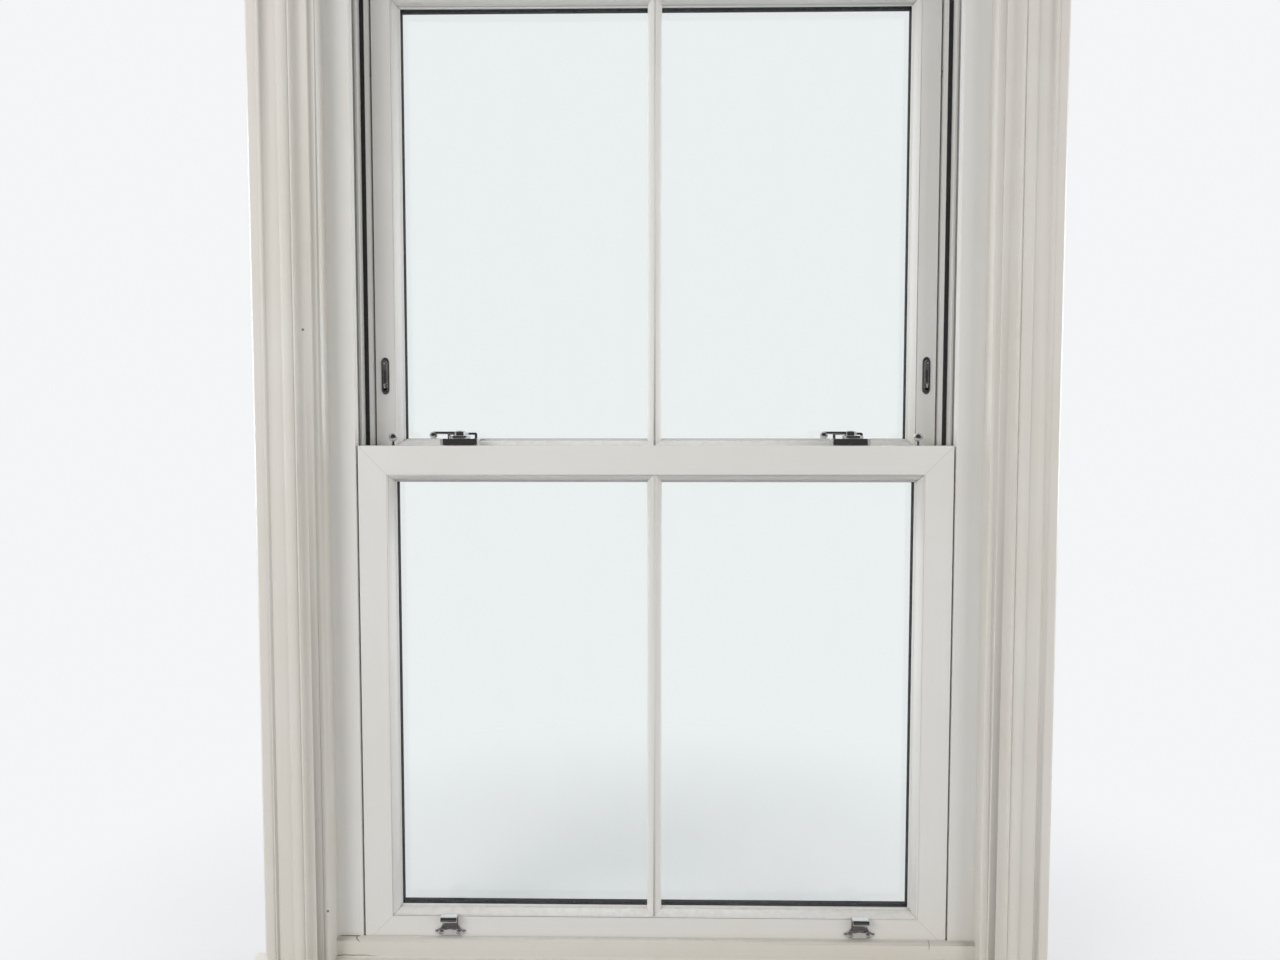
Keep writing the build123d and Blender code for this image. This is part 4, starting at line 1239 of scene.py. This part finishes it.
@dataclass
class LiftHook(HandedFitting):
    """Hook lift on the lower sash's bottom rail: waisted strip with a lip, lozenge on its foot."""

    centre_x: float = 313.5 * MM
    back_y: float = -66.5 * MM
    foot_z: float = 93.5 * MM
    half_width: float = 23.8 * MM
    foot_half: float = 15.6 * MM
    height: float = 35.0 * MM
    strip: float = 2.4 * MM
    neck_half: float = 12.4 * MM
    waist: Point = (8.6 * MM, 19.0 * MM)
    shoulder_fall: float = 0.8
    shoulder_climb: float = 1.25
    shoulder_steps: int = 8
    bend: float = 4.0 * MM
    shelf: float = 8.0 * MM
    tip: float = 3.4 * MM
    lozenge: float = 1.3 * MM
    lozenge_half: float = 22.6 * MM
    lozenge_low: float = 0.8 * MM
    lozenge_high: float = 12.8 * MM
    screw_reach: float = 13.3 * MM
    screw_radius: float = 3.6 * MM
    screw_sink: float = 0.5 * MM
    hole: float = 3.1 * MM
    countersink: float = 1.0 * MM

    @property
    def spot(self) -> Matrix:
        """Middle of the plate's foot, on the rail's face."""
        return self.at(self.centre_x, self.back_y, self.foot_z)

    @property
    def screw_level(self) -> float:
        """Height of the screws over the foot: the middle of the lozenge."""
        return (self.lozenge_low + self.lozenge_high) / 2

    def outline(self) -> list[Point]:
        """Rim of the strip laid flat: pointed foot, hollow shoulders and straight neck.

        Returns:
            Its corners.
        """
        low, high = self.waist
        right = [(self.foot_half, 0.0), (self.half_width, 0.68 * low)]
        for i in range(self.shoulder_steps + 1):
            share = i / self.shoulder_steps
            fall = math.sin(share * math.pi / 2) ** self.shoulder_fall
            across = self.half_width - (self.half_width - self.neck_half) * fall
            right.append((across, low + (high - low) * share ** self.shoulder_climb))
        right.append((self.neck_half, self.height - self.bend))
        return right + [(-x, y) for x, y in reversed(right)]

    @staticmethod
    def next_end(hook: Blank, end: BMFace, grown: Iterable[MeshPart]) -> BMFace:
        """Clears the old end face of the strip and finds the new one.

        Args:
            hook: the blank.
            end: the face that the strip grew from.
            grown: the parts at its new end.

        Returns:
            The new end face.
        """
        if end.is_valid:
            bmesh.ops.delete(hook.mesh, geom=[end], context="FACES_ONLY")
        return only(BMFace, grown)[0]

    @staticmethod
    def roll(hook: Blank, end: BMFace, centre: Point) -> BMFace:
        """Bends the end of the strip a quarter turn about a line across it.

        Args:
            hook: the blank.
            end: face at the end of its strip.
            centre: Y and Z of the line.

        Returns:
            The new end face.
        """
        turned = bmesh.ops.spin(
            hook.mesh, geom=[*end.verts, *end.edges, end], cent=(0, *centre), axis=(1, 0, 0),
            dvec=(0, 0, 0), angle=math.pi / 2, steps=8, use_merge=False, use_duplicate=False,
        )["geom_last"]
        return LiftHook.next_end(hook, end, turned)

    @staticmethod
    def pull(hook: Blank, end: BMFace, way: Place) -> BMFace:
        """Draws the end of the strip out straight.

        Args:
            hook: the blank.
            end: face at the end of its strip.
            way: how far, along each axis.

        Returns:
            The new end face.
        """
        drawn = bmesh.ops.extrude_face_region(hook.mesh, geom=[end])["geom"]
        bmesh.ops.translate(hook.mesh, verts=only(BMVert, drawn), vec=way)
        return LiftHook.next_end(hook, end, drawn)

    def build_hook(self) -> Blank:
        """Models the strip with its lip: up the neck, forward as a shelf, and down at its tip.

        Returns:
            The blank.
        """
        level = self.height - self.bend
        hook = Blank().slab(self.outline(), self.strip).move(FACE_INDOORS)
        hook.mesh.normal_update()
        end = max(hook.mesh.faces, key=lambda f: f.normal.z + f.calc_center_median().z)
        end = self.roll(hook, end, (-self.bend, level))
        end = self.pull(hook, end, (0, -self.shelf, 0))
        end = self.roll(hook, end, (-self.bend - self.shelf, level))
        self.pull(hook, end, (0, 0, -self.tip))
        hook.clean()
        hook.soften(0.55 * MM, 3, lambda e: steep(e, 50))
        return hook

    def build_lozenge(self) -> Blank:
        """Models the flat plate over the foot, with its two countersunk holes.

        Returns:
            The blank.
        """
        middle, corner, top = self.screw_level, self.foot_half, self.lozenge
        sheet = Blank().pierced(
            [(0.0, self.lozenge_low), (corner, self.lozenge_low), (self.lozenge_half, middle),
             (corner, self.lozenge_high), (0.0, self.lozenge_high)],
            (self.screw_reach, middle), self.hole,
        )
        mesh = sheet.mesh
        parts = mesh.verts[:] + mesh.edges[:] + mesh.faces[:]
        bmesh.ops.mirror(mesh, geom=parts, matrix=Matrix.Identity(4), merge_dist=TOUCH, axis="X")
        sheet.clean().raised(top)
        outside = self.hole + self.countersink + 0.2 * MM

        def reach(edge: BMEdge) -> float:
            """How far an edge is from the centre of its hole."""
            across = self.screw_reach
            return max(math.hypot(abs(v.co.x) - across, v.co.y - middle) for v in edge.verts)

        sheet.soften(
            self.countersink, 1, lambda e: lies_on(e, top) and reach(e) < self.hole + 1e-5,
        )
        sheet.soften(
            0.6 * MM, 2, lambda e: steep(e, 60) and lies_on(e, top) and reach(e) > outside,
        )
        return sheet.move(shift(0, -self.strip, 0) @ FACE_INDOORS)

    def build(self) -> None:
        """Builds the hook and its two screws."""
        hook = self.build_hook().add(self.build_lozenge()).move(self.spot)
        hook.fit(self.named("lift_hook"), self.finishes.chrome, "lower_sash", "chrome")
        face = self.screw_sink - self.strip - self.lozenge
        CrossScrew(radius=self.screw_radius).fit_pair(
            self.named("lift_hook_screws"), self.finishes.screw_chrome, "lower_sash",
            self.spot @ shift(0, face, self.screw_level) @ FACE_INDOORS, self.screw_reach,
        )


@dataclass
class Keep(HandedFitting):
    """Screws of the slotted keep on the upper sash's bottom rail."""

    centre_x: float = 298.0 * MM
    face_y: float = -14.8 * MM
    screw_z: float = 836.0 * MM
    screw_reach: float = 15.0 * MM
    screw_radius: float = 2.9 * MM

    def build(self) -> Object:
        """Fits the two screws."""
        return CrossScrew(radius=self.screw_radius).fit_pair(
            self.named("keep_screws"), self.finishes.screw_chrome, "upper_sash",
            self.at(self.centre_x, self.face_y, self.screw_z) @ FACE_INDOORS, self.screw_reach,
        )


@dataclass
class Restrictor(HandedFitting):
    """Travel restrictor in the upper sash's stile: escutcheon, black housing as painted shade, and
    hinged wedge.
    """

    centre_x: float = 417.55 * MM
    face_y: float = -12.5 * MM
    centre_z: float = 954.0 * MM
    width: float = 13.0 * MM
    length: float = 57.6 * MM
    plate: float = 1.5 * MM
    slot_width: float = 7.6 * MM
    slot_length: float = 45.0 * MM
    housing_depth: float = 13.0 * MM
    housing_wall: float = 1.5 * MM
    wedge_width: float = 7.0 * MM
    wedge_high: float = 22.2 * MM
    wedge_low: float = -18.8 * MM
    wedge_half: float = 3.5 * MM
    pin_y: float = 2.3 * MM
    pin_z: float = 18.7 * MM
    pin_radius: float = 1.5 * MM

    @property
    def spot(self) -> Matrix:
        """Middle of the fitting, on the stile's face."""
        return self.at(self.centre_x, self.face_y, self.centre_z)

    def build_plate(self) -> Object:
        """Escutcheon with pointed ends and a round-ended slot.

        Returns:
            The piece.
        """
        half, end, point = self.width / 2, self.length / 2, 1.25 * self.width / 2
        upper = [
            (half * math.cos(a), end - point + point * math.sin(a))
            for a in (math.pi * i / 14 for i in range(15))
        ]
        stretch = (self.slot_length - self.slot_width) / 2
        shape = Blank().pierced(
            upper + [(-x, -y) for x, y in upper], (0.0, 0.0), self.slot_width / 2, stretch,
        ).raised(self.plate)
        shape.soften(0.55 * MM, 3, lambda e: steep(e, 60) and lies_on(e, self.plate))
        shape.move(self.spot @ FACE_INDOORS)
        return shape.fit(
            self.named("restrictor_plate"), self.finishes.chrome, "upper_sash", "chrome",
        )

    def build_housing(self) -> Object:
        """Open box behind the slot, with the wedge's pin across it, in black rubber as painted
        shade for the slot's dark inside.

        Returns:
            The piece.
        """
        wall, deep = self.housing_wall, self.housing_depth
        half, reach = self.slot_width / 2 + wall, self.slot_length / 2 + wall
        box = Blank().slab(oblong(-half, half, reach), deep, -deep)
        mouth = [f for f in box.mesh.faces if f.normal.z > 0.99]
        bmesh.ops.inset_region(box.mesh, faces=mouth, thickness=wall)
        sunk = bmesh.ops.extrude_face_region(box.mesh, geom=mouth)["geom"]
        bmesh.ops.delete(box.mesh, geom=mouth, context="FACES_ONLY")
        floor = only(BMVert, sunk)
        bmesh.ops.translate(box.mesh, verts=floor, vec=(0, 0, wall - deep))
        box.clean()
        radius = self.pin_radius
        pin = Blank().turned([(0, -half), (radius, -half), (radius, half), (0, half)], 20)
        across = Matrix.Rotation(math.radians(90.0), 4, "Y")
        box.add(pin, shift(0, self.pin_z, -self.pin_y) @ across)
        box.move(self.spot @ FACE_INDOORS)
        # Black rubber, not the chrome of its slot: painted shade inside the restrictor's slot.
        return box.fit(
            self.named("restrictor_housing"), self.finishes.rubber, "upper_sash", "chrome",
        )

    def build_wedge(self) -> Object:
        """Wedge on its pin: bevelled long edges, a groove down its face and a sloped foot.

        Returns:
            The piece.
        """
        half, thick = self.wedge_width / 2, self.wedge_half
        front, low, high = self.pin_y - thick, self.wedge_low, self.wedge_high
        back = front + 2 * thick
        wedge = Blank().slab(
            [(front, high - thick), (front, low + 7 * MM), (front + 2 * MM, low), (back, low),
             (back, high), (front + thick * 0.6, high), (front + 0.8 * MM, high - 1.2 * MM)],
            2 * half, -half,
        )
        wedge.soften(
            1.6 * MM, 3, lambda e: runs_along(e, 1) and e.verts[0].co.x < front + TOUCH,
        ).clean()
        face = [f for f in wedge.mesh.faces if f.normal.x < -0.99]
        bmesh.ops.inset_region(wedge.mesh, faces=face, thickness=0.7 * MM)
        groove = list({v for f in face for v in f.verts})
        bmesh.ops.translate(wedge.mesh, verts=groove, vec=(0.9 * MM, 0, 0))
        wedge.soften(0.3 * MM, 2, lambda e: steep(e, 50))
        turn = Matrix(((0, 0, 1, 0), (1, 0, 0, 0), (0, 1, 0, 0), (0, 0, 0, 1)))
        wedge.move(self.spot @ turn)
        solid = self.named("restrictor_wedge")
        return wedge.fit(
            f"{solid}_body", self.finishes.chrome, self.named("wedge"), "chrome", [solid],
        )

    def build(self) -> None:
        """Builds the whole restrictor."""
        self.build_plate()
        self.build_housing()
        self.build_wedge()


@dataclass
class PileStrip:
    """Draught-proof brush: a backing strip with tufts on its indoor side."""

    low: Vector
    high: Vector
    upright: bool
    pitch: float = 1.7 * MM
    rows: int = 5
    backing: float = 2.5 * MM
    width: float = 6.7 * MM
    tuft_spread: float = 6.2 * MM
    tuft_foot: float = 0.75 * MM
    tuft_tip: float = 0.3 * MM
    tuft_heights: Point = (0.86, 0.99)
    scatter: float = 0.3
    sway: float = 0.2
    splay: float = 0.16
    fan: float = 0.38
    patch: float = 60.0 * MM

    def tufts(self, length: float, draw: random.Random) -> Blank:
        """One length of tufts standing on the origin along X, their tips along Z.

        Args:
            length: how far they run.
            draw: where the scatter comes from.

        Returns:
            The blank.
        """
        pile = (self.high.y - self.low.y) - self.backing
        tufts = Blank()
        count = int(length / self.pitch)
        for i in range(count * self.rows):
            along = (i // self.rows + 0.5 + draw.uniform(-self.scatter, self.scatter)) * self.pitch
            across = ((i % self.rows + 0.5) / self.rows - 0.5) * self.tuft_spread
            fan = self.fan * across / (self.tuft_spread / 2)
            splay = draw.uniform(-self.splay, self.splay) - fan
            sway = Matrix.Rotation(draw.uniform(-self.sway, self.sway), 4, "Y")
            tall = pile * draw.uniform(*self.tuft_heights)
            lean = Matrix.Rotation(splay, 4, "X") @ sway
            bmesh.ops.create_cone(
                tufts.mesh, segments=4, radius1=self.tuft_foot, radius2=self.tuft_tip,
                depth=tall, cap_ends=True,
                matrix=shift(along, across, 0) @ lean @ shift(0, 0, tall / 2),
            )
        return tufts

    def build(self, blank: Blank, seed: int) -> None:
        """Adds this strip to a blank: backing first, then its tufts.

        Args:
            blank: what the strip is added to.
            seed: start of the scatter.
        """
        length = (self.high.z - self.low.z) if self.upright else (self.high.x - self.low.x)
        draw = random.Random(seed)
        strip = Blank().slab(oblong(0, length, self.width / 2), self.backing).soften(0.3 * MM, 1)
        cluster = self.tufts(self.patch, draw)
        lengths = int(length / self.patch)
        covered = lengths * self.patch
        for i in range(lengths):
            strip.add(cluster, shift(i * self.patch, 0, self.backing))
        strip.add(self.tufts(length - covered, draw), shift(covered, 0, self.backing))
        turn = FACE_INDOORS
        if self.upright:
            turn = Matrix.Rotation(math.radians(-90.0), 4, "Y") @ turn
            start = ((self.low.x + self.high.x) / 2, self.high.y, self.low.z)
        else:
            start = (self.low.x, self.high.y, (self.low.z + self.high.z) / 2)
        blank.add(strip, shift(*start) @ turn)


@dataclass
class OuterFrame:
    """The fixed plastic frame: head, jambs, sill, external sill and their brush piles and seal."""

    finishes: Finishes
    inner_track: float = 448.2 * MM
    outer_track: float = 435.0 * MM
    pile_width: float = 6.7 * MM
    pile_low: float = 79.0 * MM
    head_inner: float = 1585.2 * MM
    step: float = 13.2 * MM
    inner_depths: Point = (-17.6 * MM, -12.5 * MM)
    outer_depths: Point = (36.4 * MM, 41.5 * MM)

    def strips(self) -> list[PileStrip]:
        """The six brush strips of the frame: up both jambs and across the head, for each sash.

        Returns:
            The strips.
        """
        made = []
        for track, ceiling, (front, back) in (
            (self.inner_track, self.head_inner, self.inner_depths),
            (self.outer_track, self.head_inner - self.step, self.outer_depths),
        ):
            inner, under = track - self.pile_width, ceiling - self.pile_width
            for left in (-track, inner):
                low, high = (left, front, self.pile_low), (left + self.pile_width, back, under)
                made.append(PileStrip(Vector(low), Vector(high), True))
            low, high = (-inner, front, under), (inner, back, ceiling)
            made.append(PileStrip(Vector(low), Vector(high), False))
        return made

    def build(self) -> None:
        """Dresses the frame's solids and lays in its brushes."""
        finishes = self.finishes
        dress(finishes.frame_upright, "frame_jamb_left", "frame_jamb_right")
        dress(finishes.frame_across, "frame_head", "frame_sill", "external_sill")
        dress(finishes.moulded_white, "sill_end_caps")
        dress(finishes.rubber, "sill_seal")
        brushes = Blank()
        for seed, strip in enumerate(self.strips()):
            strip.build(brushes, seed)
        brushes.fit("brush_pile_tufts", finishes.pile, "frame", "brush_pile", ["brush_piles"], 20.0)


@dataclass
class TimberTrim:
    """Painted timber round the window: architrave, board and the strip that covers their joint."""

    finishes: Finishes
    strip_half: float = 487.0 * MM
    strip_y: float = -76.5 * MM
    board_top: float = 63.0 * MM
    filler: float = 2.6 * MM
    hollow: float = 0.36
    unevenness: float = 0.35

    def build_filler(self) -> Object:
        """Thin, uneven bead of filler in the corner between the strip and the board.

        Returns:
            The piece.
        """
        half, size, dip = self.strip_half - 1.0 * MM, self.filler, self.hollow * self.filler
        bead = Blank().slab([(0, 0), (size, 0), (dip, dip), (0, size)], 2 * half, -half)
        long_edges = [e for e in bead.mesh.edges if runs_along(e, 2)]
        bmesh.ops.subdivide_edges(bead.mesh, edges=long_edges, cuts=180, use_grid_fill=True)
        for vertex in bead.mesh.verts:
            if vertex.co.x > TOUCH or vertex.co.y > TOUCH:
                wave = noise.noise(Vector((0, 0, vertex.co.z * 40.0)))
                vertex.co.xy *= 1.0 + self.unevenness * wave
        bead.move(Matrix((
            (0, 0, 1, 0), (-1, 0, 0, self.strip_y), (0, 1, 0, self.board_top), (0, 0, 0, 1),
        )))
        return bead.fit("board_joint_filler", self.finishes.cover_strip, "frame", "painted_timber")

    def build(self) -> None:
        """Dresses the trim and fills its joint."""
        finishes = self.finishes
        for node, finish in (
            ("architrave_left", finishes.timber_upright),
            ("architrave_right", finishes.timber_upright),
            ("architrave_head", finishes.timber_head),
            ("window_board", finishes.timber_across),
            ("cover_trim", finishes.cover_strip),
        ):
            smooth_copy(node, finish, "painted_timber")
        self.build_filler()


@dataclass
class GlazedSash:
    """One sash: welded rails and stiles, snap-in beads, sealed unit, glazing bars and latches."""

    place: SashPlace
    finishes: Finishes

    def build(self) -> None:
        """Dresses the sash's solids."""
        word, finishes = self.place.word, self.finishes
        dress(finishes.sashes[self.place, Run.ACROSS], f"{word}_bottom_rail", f"{word}_top_rail")
        dress(finishes.sashes[self.place, Run.UPRIGHT], f"{word}_stile_left", f"{word}_stile_right")
        smooth_copy(f"{word}_beads", finishes.sashes[self.place, Run.NONE], "bead_plastic")
        smooth_copy(f"{word}_glazing_bar_inner", finishes.frame_upright, "bead_plastic")
        smooth_copy(f"{word}_glazing_bar_outer", finishes.frame_upright, "bead_plastic")
        dress(finishes.rubber, f"{word}_gaskets")
        dress(finishes.spacer, f"{word}_spacer")
        dress(finishes.glass, f"{word}_glass_panes")
        frame["nodes"][f"{word}_glass_panes"].visible_shadow = False
        dress(finishes.zinc, f"{word}_pivot_bars")
        dress(finishes.shoe, f"{word}_latch_trays")


@dataclass
class LatchSprings:
    """Bent strip springs behind a sash's two latch bolts, one piece each."""

    place: SashPlace
    finishes: Finishes
    travel: float = 10.0 * MM

    def build(self) -> None:
        """Parts the pair of springs into one piece each, riding on the sash."""
        word = self.place.word
        pair = f"{word}_latch_springs"
        for side in Side:
            spring = Blank()
            spring.mesh.from_mesh(frame["nodes"][pair].data)
            far = [v for v in spring.mesh.verts if v.co.x * side.value < 0.0]
            bmesh.ops.delete(spring.mesh, geom=far, context="VERTS")
            bmesh.ops.remove_doubles(spring.mesh, verts=spring.mesh.verts, dist=SOLID_TOUCH)
            piece = spring.fit(
                f"{word}_latch_spring_{side.word}", self.finishes.zinc, f"{word}_sash",
                "zinc_steel", [pair] if side is Side.LEFT else (),
            )
            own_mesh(piece)


@dataclass
class SlidingGear:
    """Balances in the jambs, bolts and keeps that stay as their solids, and the meeting brush."""

    finishes: Finishes
    brush_seed: int = 11

    def build(self) -> None:
        """Dresses tubes, rods, shoes, bolts and keeps, and lays in the meeting brush."""
        finishes = self.finishes
        for word in ("lower", "upper"):
            smooth_copy(f"{word}_balance_tubes", finishes.tube, "balance_tube")
            dress(finishes.zinc, f"{word}_balance_rods")
            dress(finishes.shoe, f"{word}_shoes")
        dress(finishes.zinc, "upper_latch_bolt_left", "upper_latch_bolt_right")
        dress(finishes.chrome, "catch_keeps")
        brush = Blank()
        low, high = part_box("meeting_brush")
        PileStrip(low, high, False).build(brush, self.brush_seed)
        brush.fit(
            "meeting_pile_tufts", finishes.pile, "upper_sash", "brush_pile", ["meeting_brush"],
            20.0,
        )


# ---------------------------------------------------------------- the studio


@dataclass(frozen=True)
class Softbox:
    """Square softbox that lights the window and isn't seen itself; watts, metres and degrees."""

    name: str
    place: Place
    size: float
    power: float
    tint: Colour
    spread: float

    def hang(self, aim: Sequence[float]) -> None:
        """Hangs the lamp. Only one that is outside shows in a mirror.

        Args:
            aim: the point that it faces.
        """
        lamp = bpy.data.lights.new(self.name, "AREA")
        lamp.shape, lamp.size, lamp.energy, lamp.color = "SQUARE", self.size, self.power, self.tint
        lamp.spread = math.radians(self.spread)
        holder = bpy.data.objects.new(self.name, lamp)
        bpy.context.scene.collection.objects.link(holder)
        holder.location = self.place
        way = Vector(aim) - Vector(self.place)
        holder.rotation_euler = way.to_track_quat("-Z", "Y").to_euler()
        holder.visible_camera = holder.visible_transmission = False
        holder.visible_glossy = self.place[1] > 0.0


WARM: Colour = (1.0, 0.975, 0.945)
COOL: Colour = (0.93, 0.965, 1.0)
SOFTBOXES = (
    Softbox("left_softbox", (-2.4, -2.6, 2.2), 1.8, 19.0, WARM, 100.0),
    Softbox("right_softbox", (2.8, -2.4, 1.7), 1.8, 11.0, WARM, 100.0),
    Softbox("outside_left_softbox", (-2.9, 1.05, 1.25), 1.6, 13.0, COOL, 90.0),
    Softbox("outside_right_softbox", (2.9, 1.05, 1.25), 1.6, 13.0, COOL, 90.0),
    Softbox("sky_softbox", (0.0, 1.6, 3.2), 2.0, 11.0, COOL, 120.0),
)


@dataclass
class Studio:
    """Pale floor that fades into a pale backdrop, soft lamps and the camera."""

    pale: Colour = (0.90, 0.915, 0.93)
    floor_tint: Colour = (0.74, 0.735, 0.73)
    indoor_light: Colour = (0.40, 0.39, 0.38)
    outside_light: Colour = (0.56, 0.585, 0.61)
    indoor_mirrored: Colour = (0.050, 0.047, 0.045)
    floor_mirrored: Colour = (0.11, 0.105, 0.10)
    floor_mottle: Mottle = Mottle(5.0, 4.0)
    floor_reach: float = 30.0
    floor_fade: Point = (0.3, 1.3)
    floor_mirror_fade: Point = (-0.3, 0.9)
    light_fade: Point = (-0.5, 0.6)
    mirror_fade: Point = (0.0, 0.8)
    aim: Place = (0.0, 0.0, 0.85)
    camera_place: Place = (0.0, -1.4465, 0.872)
    camera_pitch: float = 3.15
    camera_turn: float = 0.9
    focal_length: float = 26.0
    film_width: float = 36.0

    def paths(self, recipe: Recipe) -> tuple[Signal, Signal]:
        """Whether the eye looks straight or through glass, and whether it looks in a mirror.

        Args:
            recipe: the nodes that ask.

        Returns:
            The two answers, each 0 or 1.
        """
        node = recipe.add("ShaderNodeLightPath")
        kinds = ("Is Camera Ray", "Is Transmission Ray", "Is Glossy Ray")
        straight, through, mirrored = (Signal(recipe, node.outputs[kind]) for kind in kinds)
        return straight.most(through), mirrored * (1.0 - through)

    def build_floor(self) -> Object:
        """Wide floor, plain near the window and one with the backdrop further off.

        Returns:
            The floor.
        """
        shape = Blank()
        bmesh.ops.create_grid(shape.mesh, x_segments=8, y_segments=8, size=self.floor_reach)
        recipe = Recipe("pale_floor")
        place = recipe.position()
        _, outwards, _ = recipe.parts(place)
        away = recipe.signal("ShaderNodeVectorMath", {"operation": "LENGTH"}, {0: place}, "Value")
        mottle = recipe.mottle(place, self.floor_mottle)
        tint = recipe.mix(mottle * 0.3, self.floor_tint, shade(self.floor_tint, 0.95))
        ground = recipe.surface({"Base Color": tint, "Roughness": 0.75 + mottle * 0.1})
        seen, mirrored = self.paths(recipe)
        image = recipe.mix(outwards.rise(*self.floor_mirror_fade), self.floor_mirrored, self.pale)
        colour = recipe.mix(mirrored, self.pale, image)
        glow = recipe.signal("ShaderNodeEmission", values={"Color": colour, "Strength": 1.0})
        share = (away.rise(*self.floor_fade) * seen).most(mirrored)
        finish = recipe.done(recipe.blend(share, ground, glow))
        mesh = bpy.data.meshes.new("studio_floor")
        shape.mesh.to_mesh(mesh)
        shape.mesh.free()
        mesh.materials.append(finish)
        floor = bpy.data.objects.new("studio_floor", mesh)
        bpy.context.scene.collection.objects.link(floor)
        return floor

    def build_world(self) -> None:
        """Pale surroundings to the eye, and an even grey light for everything else."""
        world = bpy.data.worlds.new("studio_world")
        bpy.context.scene.world = world
        recipe = Recipe(world.name, world)
        _, outwards, _ = recipe.parts(recipe.signal("ShaderNodeTexCoord", output="Generated"))
        seen, mirror = self.paths(recipe)
        light = recipe.mix(outwards.rise(*self.light_fade), self.indoor_light, self.outside_light)
        image = recipe.mix(outwards.rise(*self.mirror_fade), self.indoor_mirrored, self.pale)
        colour = recipe.mix(seen, recipe.mix(mirror, light, image), self.pale)
        values = {"Color": colour, "Strength": 1.0}
        recipe.done(recipe.signal("ShaderNodeBackground", values=values))

    def build_camera(self) -> None:
        """Camera indoors, level with the window's middle, pitched down and turned a touch."""
        camera = bpy.data.cameras.new("indoor_camera")
        camera.lens, camera.sensor_width = self.focal_length, self.film_width
        holder = bpy.data.objects.new("indoor_camera", camera)
        bpy.context.scene.collection.objects.link(holder)
        holder.location = self.camera_place
        pitch, turn = math.radians(90.0 - self.camera_pitch), math.radians(self.camera_turn)
        holder.rotation_euler = (pitch, 0.0, turn)
        bpy.context.scene.camera = holder

    def build(self) -> None:
        """Sets the whole studio."""
        bpy.context.scene.view_settings.view_transform = "Standard"
        self.build_floor()
        self.build_world()
        for softbox in SOFTBOXES:
            softbox.hang(self.aim)
        self.build_camera()


def main() -> None:
    """Builds the window's looks in order."""
    logging.basicConfig(level=logging.INFO, format="%(message)s")
    finishes = Finishes()
    OuterFrame(finishes).build()
    TimberTrim(finishes).build()
    for place in SashPlace:
        GlazedSash(place, finishes).build()
        LatchSprings(place, finishes).build()
    SlidingGear(finishes).build()
    for side in Side:
        CamCatch(side, finishes).build()
        Keep(side, finishes).build()
        TiltLatch(side, finishes).build()
        LiftHook(side, finishes).build()
        Restrictor(side, finishes).build()
    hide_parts("lift_hooks")
    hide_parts("restrictor_plates")
    Studio().build()


if __name__ == "__main__":
    main()
